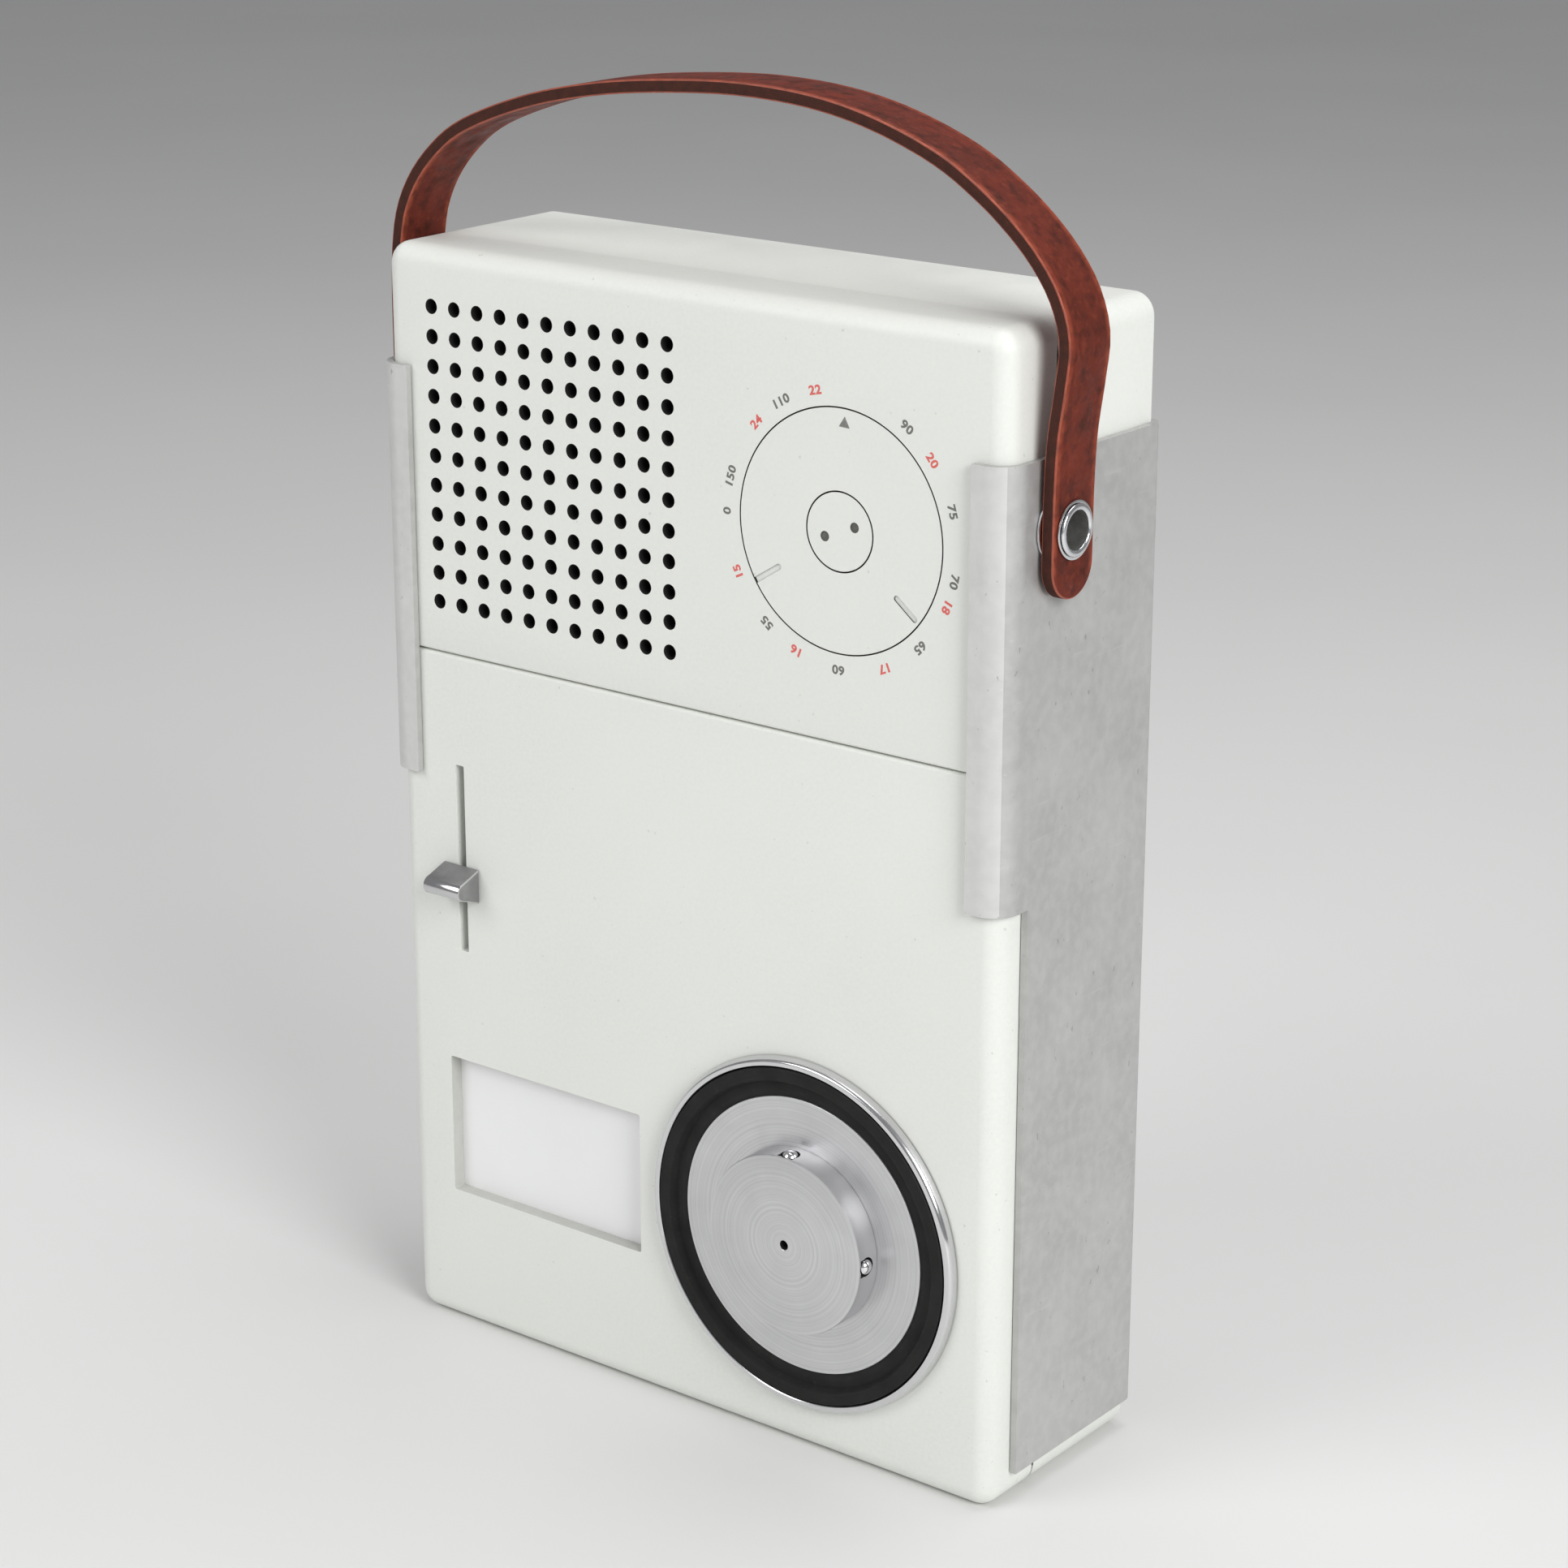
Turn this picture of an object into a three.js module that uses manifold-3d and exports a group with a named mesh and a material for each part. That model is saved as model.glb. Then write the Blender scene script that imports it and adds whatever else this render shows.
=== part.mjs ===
// Portable radio stacked on a small record player, both in a bent aluminium carrier with a leather strap.
// Millimetres, +Z up, front face towards -Y, origin under the middle of the case.
import * as THREE from "three";
import { mergeGeometries, mergeVertices } from "three/addons/utils/BufferGeometryUtils.js";
import Module from "manifold-3d";

// --- case ---
const CASE_WIDTH = 152.5;
const CASE_DEPTH = 48;
const PLAYER_HEIGHT = 151.1;
const RADIO_HEIGHT = 83.5;
const UNIT_GAP = 0.4; // between the player and the radio on top of it
const FRONT_SHELL_DEPTH = 14.7;
const FRONT_WALL = 3;
const WALL = 2.5;
const FRONT_EDGE = 4; // rounding of the front edges
const BACK_EDGE = 0.8;
const CASE_CORNER = 4.5; // corners seen from the front
const GAP = 0.3; // clearance between pieces that touch
const OVERCUT = 1; // how far a cutting tool runs past what it cuts
const ROOT = 0.5; // how far a joined boss or post runs into its wall

// --- case screws ---
const SCREW_SHAFT = 1.4;
const SCREW_HEAD = 2.6;
const SCREW_HEAD_HEIGHT = 1.6;
const SCREW_TIP_DEPTH = 8; // behind the case front
const SCREW_SEAT_DEPTH = 17.5; // in front of the case back
const SCREW_SLOT_WIDTH = 0.8;
const SCREW_SLOT_DEPTH = 0.7;
const BOSS_RADIUS = 4;
const BOSS_INSET_X = 6.25;
const BOSS_INSET_Z = 7.5;

// --- carrier ---
const SHEET = 1.4;
const SHEET_GAP = 0.25;
const CARRIER_BOTTOM = 6.5;
const CARRIER_TOP_DROP = 24.4; // below the top of the case
const LIP_DROP = 26.4; // foot of the lips below the top of the player
const LIP_WIDTH = 8.5;
const SIDE_SETBACK = 7; // side plates below the lips, behind the case front
const BACK_BEND = 3; // outer radius of the back bends
const CARRIER_SCREW_X = 45;
const CARRIER_SCREW_Z = 75;
const COUNTERSINK = 1.1; // in the sheet, round the carrier screws
const CARRIER_SCREW_RECESS = 0.1; // heads below the carrier's back
const CARRIER_SCREW_REACH = 4; // into the pad on the player's back wall
const CARRIER_PAD_RADIUS = 5;
const CARRIER_PAD_THICK = 3.5;

// --- strap and eyelets ---
const STRAP_WIDTH = 13.2;
const STRAP_THICK = 2.6;
const STRAP_STANDOFF = 0.95; // strap to side plate
const STRAP_RISE = 74.1; // middle of the leather at the crown, above the eyelets
const STRAP_TAIL = 6.45; // centre of the rounded end below the eyelet
const STRAP_STEPS = 46;
const EYELET_SETBACK = 14; // behind the case front
const EYELET_DROP = 37.8; // below the top of the case
const EYELET_TUBE = 4.2; // outer radius
const EYELET_WALL = 0.5;
const EYELET_FLOOR = 0.6;
const EYELET_RIM = 0.8; // rolled rim, past the tube
const EYELET_RIM_HEIGHT = 0.45;
const EYELET_STAND = 1.15; // in front of the strap
const WASHER_WIDTH = 1.4; // past the tube
const SPACER_WIDTH = 2.8; // past the tube, a little wider than the strap
const WASHER_THICK = 0.35;
const WASHER_GAP = 0.15; // strap to washer
// Course of the strap: x as a share of the leg's distance, z as a share of the rise.
const STRAP_COURSE = [
  [-1, -0.178],
  [-1, 0],
  [-1.001, 0.22],
  [-1, 0.36],
  [-0.992, 0.487],
  [-0.973, 0.58],
  [-0.927, 0.672],
  [-0.853, 0.757],
  [-0.772, 0.818],
  [-0.558, 0.906],
  [-0.326, 0.961],
  [-0.087, 0.99],
  [0.131, 1],
  [0.342, 0.985],
  [0.514, 0.946],
  [0.684, 0.879],
  [0.779, 0.82],
  [0.866, 0.752],
  [0.947, 0.669],
  [1.005, 0.579],
  [1.033, 0.479],
  [1.023, 0.359],
  [1.007, 0.236],
  [1.001, 0.1],
  [1, 0],
  [1, -0.178],
];

// --- radio front: sound holes, dial and volume knob ---
const HOLE_COUNT = 11; // rows and columns of the sound holes
const HOLE_PITCH = 6.09;
const HOLE_RADIUS = 1.55;
const HOLE_INSET_X = 12.75; // first hole from the case side
const HOLE_INSET_Z = 11.9; // first hole from the case top
const DIAL_INSET_X = 37.55;
const DIAL_INSET_Z = 42.15;
const DIAL_RADIUS = 23.45;
const DIAL_THICK = 2.4;
const KNOB_RADIUS = 7.55;
const KNOB_SHAFT = 3;
const KNOB_DOT_OFFSET = 3.7;
const KNOB_DOT_RADIUS = 1;
const KNOB_DOT_DEPTH = 1.2;
const KNOB_DOT_TURN = 21; // degrees
const POINTER_TURN = 87.2; // degrees, where the dial's mark stands
const GROOVE_SPREAD = 125.4; // degrees from the mark to each finger groove
const GROOVE_LENGTH = 6.5;
const GROOVE_RIM = 0.55; // groove's outer end inside the dial's edge
const GROOVE_WIDTH = 1.2;
const GROOVE_DEPTH = 1;

// --- radio works ---
const HUB_WALL = 1.5; // dial hub around the knob
const HUB_WEB = 1.2;
const DIAL_GEAR_RADIUS = 7;
const DIAL_TRAVEL = 333; // degrees
const CAPACITOR_TRAVEL = 180; // degrees
const DRUM_DIRECTION = -50; // degrees, from the dial to the drum
const MESH_GAP = 0.5; // between the dial gear and the drum
const GEAR_DEPTH = 7; // gear's front behind the case front
const GEAR_THICK = 3;
const VOLUME_DEPTH = 13; // behind the case front
const VOLUME_LENGTH = 8;
const VOLUME_RADIUS = 8;
const CAPACITOR_SIZE = 20;
const CAPACITOR_THICK = 15.7;
const CLOTH_MARGIN = 2.1;
const CLOTH_THICK = 0.6;
const SPEAKER_RADIUS = 36.5;
const SPEAKER_SEAT = 1.2; // behind the front wall
const MAGNET_RADIUS = 12;
const MAGNET_LENGTH = 9;
const BOARD_WIDTH = 62;
const BOARD_HEIGHT = 58;
const BOARD_THICK = 1.6;
const BOARD_CLEARANCE = 6; // behind the capacitor
const BOARD_LIFT = 9;
const FERRITE_RADIUS = 4;
const FERRITE_INSET = 16.25; // rod's ends from the case sides
const FERRITE_DROP = 9;
const FERRITE_SETBACK = 7;
const COIL_LENGTH = 20;
const COIL_RADIUS = 5.8;
const COIL_X = 30;
const BATTERY_LENGTH = 48;
const BATTERY_HEIGHT = 26;
const BATTERY_THICK = 16.8;
const LINK_INSET_X = 26.25;
const LINK_SETBACK = 14;
const LINK_RADIUS = 3;
const LINK_REACH = 4; // into each unit, past its wall

// --- turntable ---
const PLATTER_RADIUS = 37.5;
const PLATTER_MARGIN_X = 8; // from the case side
const PLATTER_MARGIN_Z = 9.95; // from the case bottom
const PLATTER_OVERHANG = 2.6; // rim past its opening
const RIM_WIDTH = 1.75;
const RIM_HEIGHT = 2.35; // above the case front
const MAT_HEIGHT = 2.5;
const MAT_BAND = 2.7; // raised outer band of the mat
const MAT_WIDTH = 5.75;
const MAT_FLOOR = 0.9; // height of the mat's low band
const DISC_HEIGHT = 1.15;
const DISH_DEPTH = 1.7; // underside of the disc behind the case front
const DISH_HUB_RADIUS = 8;
const DISH_HUB_DEPTH = 6;
const PUCK_RADIUS = 18.9;
const PUCK_HEIGHT = 6.8;
const CENTRE_HOLE = 1;
const BALL_RADIUS = 1.75;
const BALL_GAP = 0.2;
const BALL_HEIGHT = 4.6;
const BALL_SETBACK = 0.9; // centre of a ball inside the puck's side
const BALL_COUNT = 4;
const SPINDLE_RADIUS = 3;
const SPINDLE_HEIGHT = 3.4;
const SPINDLE_LENGTH = 29.4;

// --- record player drive ---
const WHEEL_RADIUS = 20;
const WHEEL_DEPTH = 8; // wheel's front behind the case front
const WHEEL_THICK = 3;
const PULLEY_RADIUS = 3;
const SHAFT_RADIUS = 1.2;
const BELT_THICK = 1;
const BELT_MARGIN = 0.5; // belt narrower than the wheel on each side
const MOTOR_INSET_X = 28.25;
const MOTOR_DROP = 33.1;
const MOTOR_RADIUS = 13;
const MOTOR_CLEARANCE = 3; // to the back wall
const SLEEVE_WALL = 3;
const SLEEVE_FLOOR = 2.2;
const CHASSIS_DEPTH = 16; // front of the chassis behind the case front
const CHASSIS_THICK = 1.5;
const CHASSIS_LEFT = 40.75; // edges from the turntable's axis and the case walls
const CHASSIS_INSET_X = 11.25;
const CHASSIS_LIFT = 4;
const CHASSIS_DROP = 5.1;
const POST_RADIUS = 3;
const POST_DROP = 46; // upper posts below the top of the chassis
const CELL_RADIUS = 12.5;
const CELL_LENGTH = 50;
const CELL_COUNT = 2;
const CELL_INSET_X = 11.25;
const CELL_GAP = 0.5;

// --- window, slide and pickup ---
const WINDOW_INSET = 12.15; // from the case side
const WINDOW_TO_PLATTER = 5.15;
const WINDOW_BOTTOM = 31;
const WINDOW_TOP = 61.9;
const SLOT_INSET = 16.9;
const SLOT_WIDTH = 2.3;
const SLOT_LENGTH = 41;
const SLOT_DROP = 23.4; // top of the slot below the top of the player
const SLIDE_WIDTH = 9.9;
const SLIDE_HEIGHT = 7.4;
const SLIDE_DROP = 25.5; // middle of the knob below the top of the slot
const SLIDE_REACH = 6.9; // knob nose in front of the case
const SLIDE_NOSE = 1.9; // radius of the nose
const STEM_GAP = 0.25;
const STEM_REACH = 2.5; // into the knob, in front of the case
const STEM_HALF_HEIGHT = 1.9; // low enough to stay inside the knob's slopes
const SHUTTER_THICK = 1;
const SHUTTER_SIDE = 2; // past the window
const SHUTTER_FOOT = 3;
const SHUTTER_HEAD = 16;
const CARRIAGE_THICK = 1.5;
const CARRIAGE_HALF_WIDTH = 2.8;
const CARRIAGE_OVERLAP = 12; // behind the shutter's head
const CARRIAGE_HEAD = 6; // above the middle of the knob
const ARM_WIDTH = 5;
const ARM_THICK = 2.5;
const ARM_DEPTH = 11; // arm's front behind the case front
const ARM_PIVOT_RISE = 29; // pivot above the top of the window
const ARM_TAIL = 5; // past the pivot and past the needle
const PIVOT_RADIUS = 1.5;
const PIVOT_HEAD = 3;
const PIVOT_HEAD_THICK = 1;
const TONGUE_HALF = 5; // chassis tongue round the pivot
const CARTRIDGE_SIZE = 9;
const CARTRIDGE_LENGTH = 12;
const CARTRIDGE_THICK = 4.2;

// --- sizes that follow ---
const CASE_HEIGHT = PLAYER_HEIGHT + UNIT_GAP + RADIO_HEIGHT;
const HALF = CASE_WIDTH / 2;
const FRONT = -CASE_DEPTH / 2;
const BACK = CASE_DEPTH / 2;
const SEAM = FRONT + FRONT_SHELL_DEPTH;
const INNER_FRONT = FRONT + FRONT_WALL;
const INNER_BACK = BACK - WALL;
const RADIO_BOTTOM = PLAYER_HEIGHT + UNIT_GAP;
const RADIO_FLOOR = RADIO_BOTTOM + WALL;
const PLATE_INSIDE = HALF + SHEET_GAP;
const PLATE_OUTSIDE = PLATE_INSIDE + SHEET;
const CARRIER_BACK = BACK + SHEET_GAP + SHEET;
const CARRIER_TOP = CASE_HEIGHT - CARRIER_TOP_DROP;
const LIP_BOTTOM = PLAYER_HEIGHT - LIP_DROP;
const LIP_EDGE_X = PLATE_OUTSIDE - LIP_WIDTH;
const EYELET_Y = FRONT + EYELET_SETBACK;
const EYELET_Z = CASE_HEIGHT - EYELET_DROP;
const STRAP_LEG = PLATE_OUTSIDE + STRAP_STANDOFF + STRAP_THICK / 2;
const HOLE_LEFT_X = -HALF + HOLE_INSET_X;
const HOLE_TOP_Z = CASE_HEIGHT - HOLE_INSET_Z;
const HOLE_SPAN = (HOLE_COUNT - 1) * HOLE_PITCH;
const SPEAKER_X = HOLE_LEFT_X + HOLE_SPAN / 2;
const SPEAKER_Z = HOLE_TOP_Z - HOLE_SPAN / 2;
const DIAL_X = HALF - DIAL_INSET_X;
const DIAL_Z = CASE_HEIGHT - DIAL_INSET_Z;
const PLATTER_X = HALF - PLATTER_MARGIN_X - PLATTER_RADIUS;
const PLATTER_Z = PLATTER_MARGIN_Z + PLATTER_RADIUS;
const PLATTER_OPENING = PLATTER_RADIUS - PLATTER_OVERHANG;
const MOTOR_X = HALF - MOTOR_INSET_X;
const MOTOR_Z = PLAYER_HEIGHT - MOTOR_DROP;
const SLOT_X = -HALF + SLOT_INSET;
const SLOT_TOP = PLAYER_HEIGHT - SLOT_DROP;
const SLOT_BOTTOM = SLOT_TOP - SLOT_LENGTH;
const SLIDE_Z = SLOT_TOP - SLIDE_DROP;
const WINDOW_LEFT = -HALF + WINDOW_INSET;
const WINDOW_RIGHT = PLATTER_X - PLATTER_RADIUS - WINDOW_TO_PLATTER;
const ARM_X = (WINDOW_LEFT + WINDOW_RIGHT) / 2;
const PIVOT_Z = WINDOW_TOP + ARM_PIVOT_RISE;
const BIG = 400;

const wasm = await Module();
wasm.setup();
const { Manifold, Mesh } = wasm;

const radians = THREE.MathUtils.degToRad;

function solid(geometry) {
  const bare = geometry.clone();
  bare.deleteAttribute("normal");
  bare.deleteAttribute("uv");
  const merged = mergeVertices(bare, 1e-4);
  return new Manifold(
    new Mesh({
      numProp: 3,
      vertProperties: merged.attributes.position.array,
      triVerts: new Uint32Array(merged.index.array),
    }),
  );
}

function surface(body) {
  const mesh = body.getMesh();
  const geometry = new THREE.BufferGeometry();
  geometry.setAttribute("position", new THREE.BufferAttribute(mesh.vertProperties, 3));
  geometry.setIndex(new THREE.BufferAttribute(mesh.triVerts, 1));
  geometry.computeVertexNormals();
  return geometry;
}

function join(first, ...others) {
  return others.reduce((body, other) => body.add(other), first);
}

function cut(first, ...tools) {
  return tools.reduce((body, tool) => body.subtract(tool), first);
}

function place(parent, name, body, [color, metalness, roughness]) {
  const material = new THREE.MeshStandardMaterial({ color, metalness, roughness });
  const mesh = new THREE.Mesh(surface(body), material);
  mesh.name = name;
  parent.add(mesh);
}

function box(x0, x1, y0, y1, z0, z1) {
  const geometry = new THREE.BoxGeometry(x1 - x0, y1 - y0, z1 - z0);
  return solid(geometry.translate((x0 + x1) / 2, (y0 + y1) / 2, (z0 + z1) / 2));
}

function rodY(radius, y0, y1, x, z, sides) {
  const geometry = new THREE.CylinderGeometry(radius, radius, y1 - y0, sides);
  return solid(geometry.translate(x, (y0 + y1) / 2, z));
}

function rodX(radius, x0, x1, y, z, sides) {
  const geometry = new THREE.CylinderGeometry(radius, radius, x1 - x0, sides).rotateZ(Math.PI / 2);
  return solid(geometry.translate((x0 + x1) / 2, y, z));
}

function rodZ(radius, z0, z1, x, y, sides) {
  const geometry = new THREE.CylinderGeometry(radius, radius, z1 - z0, sides).rotateX(Math.PI / 2);
  return solid(geometry.translate(x, y, (z0 + z1) / 2));
}

// Turned about an axis along Y; the outline lists radius and y.
function turnedY(outline, x, z, sides) {
  const points = outline.map(([r, y]) => new THREE.Vector2(r, y));
  return solid(new THREE.LatheGeometry(points, sides).translate(x, 0, z));
}

// Turned about the strap's pivot for one side of the case; the outline lists radius and distance in x.
function turnedX(outline, side, sides) {
  const points = outline.map(([r, x]) => new THREE.Vector2(r, x));
  const geometry = new THREE.LatheGeometry(points, sides).rotateZ(-side * (Math.PI / 2));
  return solid(geometry.translate(0, EYELET_Y, EYELET_Z));
}

// Outline in x and z, as a slab from back to front.
function slabXZ(shape, back, front) {
  const geometry = new THREE.ExtrudeGeometry(shape, {
    depth: back - front,
    bevelEnabled: false,
    curveSegments: 1,
  });
  return solid(geometry.rotateX(Math.PI / 2).translate(0, back, 0));
}

const WHITE_PLASTIC = [0xe9eae4, 0, 0.6];
const SCREW_STEEL = [0x8f9194, 1, 0.35];
const SATIN_ALUMINIUM = [0xb9babb, 1, 0.45];
const CHROME = [0xd5d6d8, 1, 0.15];
const LEATHER = [0x7a3226, 0, 0.7];
const PLAIN_STEEL = [0x9da0a2, 0.9, 0.45];
const DARK_STEEL = [0x6b6e70, 0.8, 0.5];
const BRASS = [0xb08d4a, 1, 0.35];
const BLACK_PLASTIC = [0x222222, 0, 0.6];
const BLACK_RUBBER = [0x1f1f1f, 0, 0.8];
const BLACK_CLOTH = [0x0b0b0b, 0, 1];
const CREAM_PLASTIC = [0xd9c9a2, 0, 0.6];
const SMOOTH_WHITE = [0xf2f2f2, 0, 0.5];
const BOARD_BROWN = [0x8a6a32, 0, 0.6];
const FERRITE_GREY = [0x2c2c2e, 0.1, 0.7];
const CELL_WRAP = [0x3c4650, 0.2, 0.5];

const group = new THREE.Group();
group.name = "portable_radio_record_player";

function unit(parent, name) {
  const part = new THREE.Group();
  part.name = name;
  parent.add(part);
  return part;
}
const radio = unit(group, "radio_unit");
const player = unit(group, "player_unit");
const carrier = unit(group, "carrier");
const strap = unit(group, "strap_swing");
const dialUnit = unit(radio, "dial_turn");
const turntable = unit(player, "platter_turn");
const slide = unit(player, "pickup_slide");
const pickup = unit(player, "pickup_swing");

// --- case shells: each unit is a front and a back moulding, held by screws in bosses ---
function roundedOutline(width, height, radius) {
  const x = width / 2;
  const quarter = Math.PI / 2;
  const shape = new THREE.Shape();
  shape.moveTo(-x + radius, 0);
  shape.lineTo(x - radius, 0);
  shape.absarc(x - radius, radius, radius, -quarter, 0, false);
  shape.lineTo(x, height - radius);
  shape.absarc(x - radius, height - radius, radius, 0, quarter, false);
  shape.lineTo(-x + radius, height);
  shape.absarc(-x + radius, height - radius, radius, quarter, 2 * quarter, false);
  shape.lineTo(-x, radius);
  shape.absarc(-x + radius, radius, radius, 2 * quarter, 3 * quarter, false);
  return shape;
}

// The whole case with its front and back edges rounded by the same amount.
function caseBlock(edge, steps) {
  const geometry = new THREE.ExtrudeGeometry(roundedOutline(CASE_WIDTH, CASE_HEIGHT, CASE_CORNER), {
    depth: CASE_DEPTH - 2 * edge,
    bevelEnabled: true,
    bevelThickness: edge,
    bevelSize: edge,
    bevelOffset: -edge,
    bevelSegments: steps,
    curveSegments: 5,
  });
  return solid(geometry.rotateX(Math.PI / 2).translate(0, BACK - edge, 0));
}
const frontBlock = caseBlock(FRONT_EDGE, 5).intersect(box(-BIG, BIG, -BIG, SEAM, -BIG, BIG));
const backBlock = caseBlock(BACK_EDGE, 1).intersect(box(-BIG, BIG, SEAM + GAP, BIG, -BIG, BIG));

function shell(block, bottom, top, hollowFront, hollowBack) {
  const inside = HALF - WALL;
  const whole = block.intersect(box(-BIG, BIG, -BIG, BIG, bottom, top));
  return cut(whole, box(-inside, inside, hollowFront, hollowBack, bottom + WALL, top - WALL));
}
const frontShell = (bottom, top) => shell(frontBlock, bottom, top, INNER_FRONT, SEAM + OVERCUT);
const backShell = (bottom, top) => shell(backBlock, bottom, top, SEAM - OVERCUT, INNER_BACK);

const screwTip = FRONT + SCREW_TIP_DEPTH;
const screwSeat = BACK - SCREW_SEAT_DEPTH;
const screwBore = SCREW_SHAFT + GAP;
const bossX = HALF - BOSS_INSET_X;
const radioBosses = [
  [-bossX, RADIO_BOTTOM + BOSS_INSET_Z],
  [bossX, CASE_HEIGHT - BOSS_INSET_Z],
];
const playerBosses = [
  [bossX, BOSS_INSET_Z],
  [-bossX, PLAYER_HEIGHT - BOSS_INSET_Z],
];

function withFrontBosses(body, bosses) {
  return bosses.reduce(
    (whole, [x, z]) =>
      whole
        .add(rodY(BOSS_RADIUS, INNER_FRONT - ROOT, SEAM, x, z, 14))
        .subtract(rodY(screwBore, screwTip - GAP, SEAM + OVERCUT, x, z, 10)),
    body,
  );
}

function withBackBosses(body, bosses) {
  return bosses.reduce(
    (whole, [x, z]) =>
      whole
        .add(rodY(BOSS_RADIUS, SEAM + GAP, INNER_BACK + ROOT, x, z, 14))
        .subtract(rodY(screwBore, SEAM - OVERCUT, screwSeat + OVERCUT, x, z, 10))
        .subtract(rodY(SCREW_HEAD + GAP, screwSeat, BACK + OVERCUT, x, z, 10)),
    body,
  );
}

function screw(tip, neck, headStart, top, x, z) {
  const outline = [
    [0, tip],
    [SCREW_SHAFT, tip],
    [SCREW_SHAFT, neck],
    [SCREW_HEAD, headStart],
    [SCREW_HEAD, top],
    [0, top],
  ];
  const reach = SCREW_HEAD + OVERCUT;
  const halfSlot = SCREW_SLOT_WIDTH / 2;
  const slot = box(x - reach, x + reach, top - SCREW_SLOT_DEPTH, top + OVERCUT, z - halfSlot, z + halfSlot);
  return cut(turnedY(outline, x, z, 8), slot);
}

function placeCaseScrews(parent, label, bosses) {
  bosses.forEach(([x, z], i) => {
    const seat = screwSeat + GAP;
    const body = screw(screwTip, seat, seat, seat + SCREW_HEAD_HEIGHT, x, z);
    place(parent, `${label}_case_screw_${i + 1}`, body, SCREW_STEEL);
  });
}

const soundHoles = [];
for (let row = 0; row < HOLE_COUNT; row += 1) {
  for (let column = 0; column < HOLE_COUNT; column += 1) {
    const hole = new THREE.CylinderGeometry(HOLE_RADIUS, HOLE_RADIUS, FRONT_WALL + 2 * OVERCUT, 6);
    const x = HOLE_LEFT_X + column * HOLE_PITCH;
    const z = HOLE_TOP_Z - row * HOLE_PITCH;
    soundHoles.push(hole.translate(x, FRONT + FRONT_WALL / 2, z));
  }
}
const wallFrom = FRONT - OVERCUT;
const wallTo = INNER_FRONT + OVERCUT;
const radioFront = cut(
  withFrontBosses(frontShell(RADIO_BOTTOM, CASE_HEIGHT), radioBosses),
  solid(mergeGeometries(soundHoles)),
  rodY(DIAL_RADIUS + GAP, wallFrom, wallTo, DIAL_X, DIAL_Z, 40),
);
place(radio, "radio_front_shell", radioFront, WHITE_PLASTIC);

// A plug joins the works of the two units through holes in the floor of one and the roof of the other.
const LINK_X = HALF - LINK_INSET_X;
const LINK_Y = BACK - LINK_SETBACK;
const linkHole = rodZ(
  LINK_RADIUS + GAP,
  PLAYER_HEIGHT - WALL - OVERCUT,
  RADIO_FLOOR + OVERCUT,
  LINK_X,
  LINK_Y,
  16,
);
const radioBack = withBackBosses(backShell(RADIO_BOTTOM, CASE_HEIGHT), radioBosses);
place(radio, "radio_back_shell", cut(radioBack, linkHole), WHITE_PLASTIC);

const chassisFront = FRONT + CHASSIS_DEPTH;
const chassisBack = chassisFront + CHASSIS_THICK;
const chassisLeft = PLATTER_X - CHASSIS_LEFT;
const chassisRight = HALF - CHASSIS_INSET_X;
const postTop = PLAYER_HEIGHT - CHASSIS_DROP - POST_DROP;
const chassisPosts = [
  [chassisLeft + 2 * POST_RADIUS, CHASSIS_LIFT + POST_RADIUS + OVERCUT],
  [chassisLeft + 2 * POST_RADIUS, postTop],
  [chassisRight - POST_RADIUS, postTop],
];
let playerFront = withFrontBosses(frontShell(0, PLAYER_HEIGHT), playerBosses);
for (const [x, z] of chassisPosts) {
  playerFront = playerFront.add(rodY(POST_RADIUS, INNER_FRONT - ROOT, chassisFront - GAP, x, z, 12));
}
playerFront = cut(
  playerFront,
  rodY(PLATTER_OPENING, wallFrom, wallTo, PLATTER_X, PLATTER_Z, 36),
  box(WINDOW_LEFT, WINDOW_RIGHT, wallFrom, wallTo, WINDOW_BOTTOM, WINDOW_TOP),
  box(SLOT_X - SLOT_WIDTH / 2, SLOT_X + SLOT_WIDTH / 2, wallFrom, wallTo, SLOT_BOTTOM, SLOT_TOP),
);
place(player, "player_front_shell", playerFront, WHITE_PLASTIC);

const carrierScrews = [-CARRIER_SCREW_X, CARRIER_SCREW_X];
let playerBack = cut(withBackBosses(backShell(0, PLAYER_HEIGHT), playerBosses), linkHole);
for (const x of carrierScrews) {
  const padFront = INNER_BACK - CARRIER_PAD_THICK;
  playerBack = playerBack
    .add(rodY(CARRIER_PAD_RADIUS, padFront, INNER_BACK + ROOT, x, CARRIER_SCREW_Z, 14))
    .subtract(rodY(screwBore, padFront - OVERCUT, BACK + OVERCUT, x, CARRIER_SCREW_Z, 10));
}
place(player, "player_back_shell", playerBack, WHITE_PLASTIC);
placeCaseScrews(radio, "radio", radioBosses);
placeCaseScrews(player, "player", playerBosses);

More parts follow.
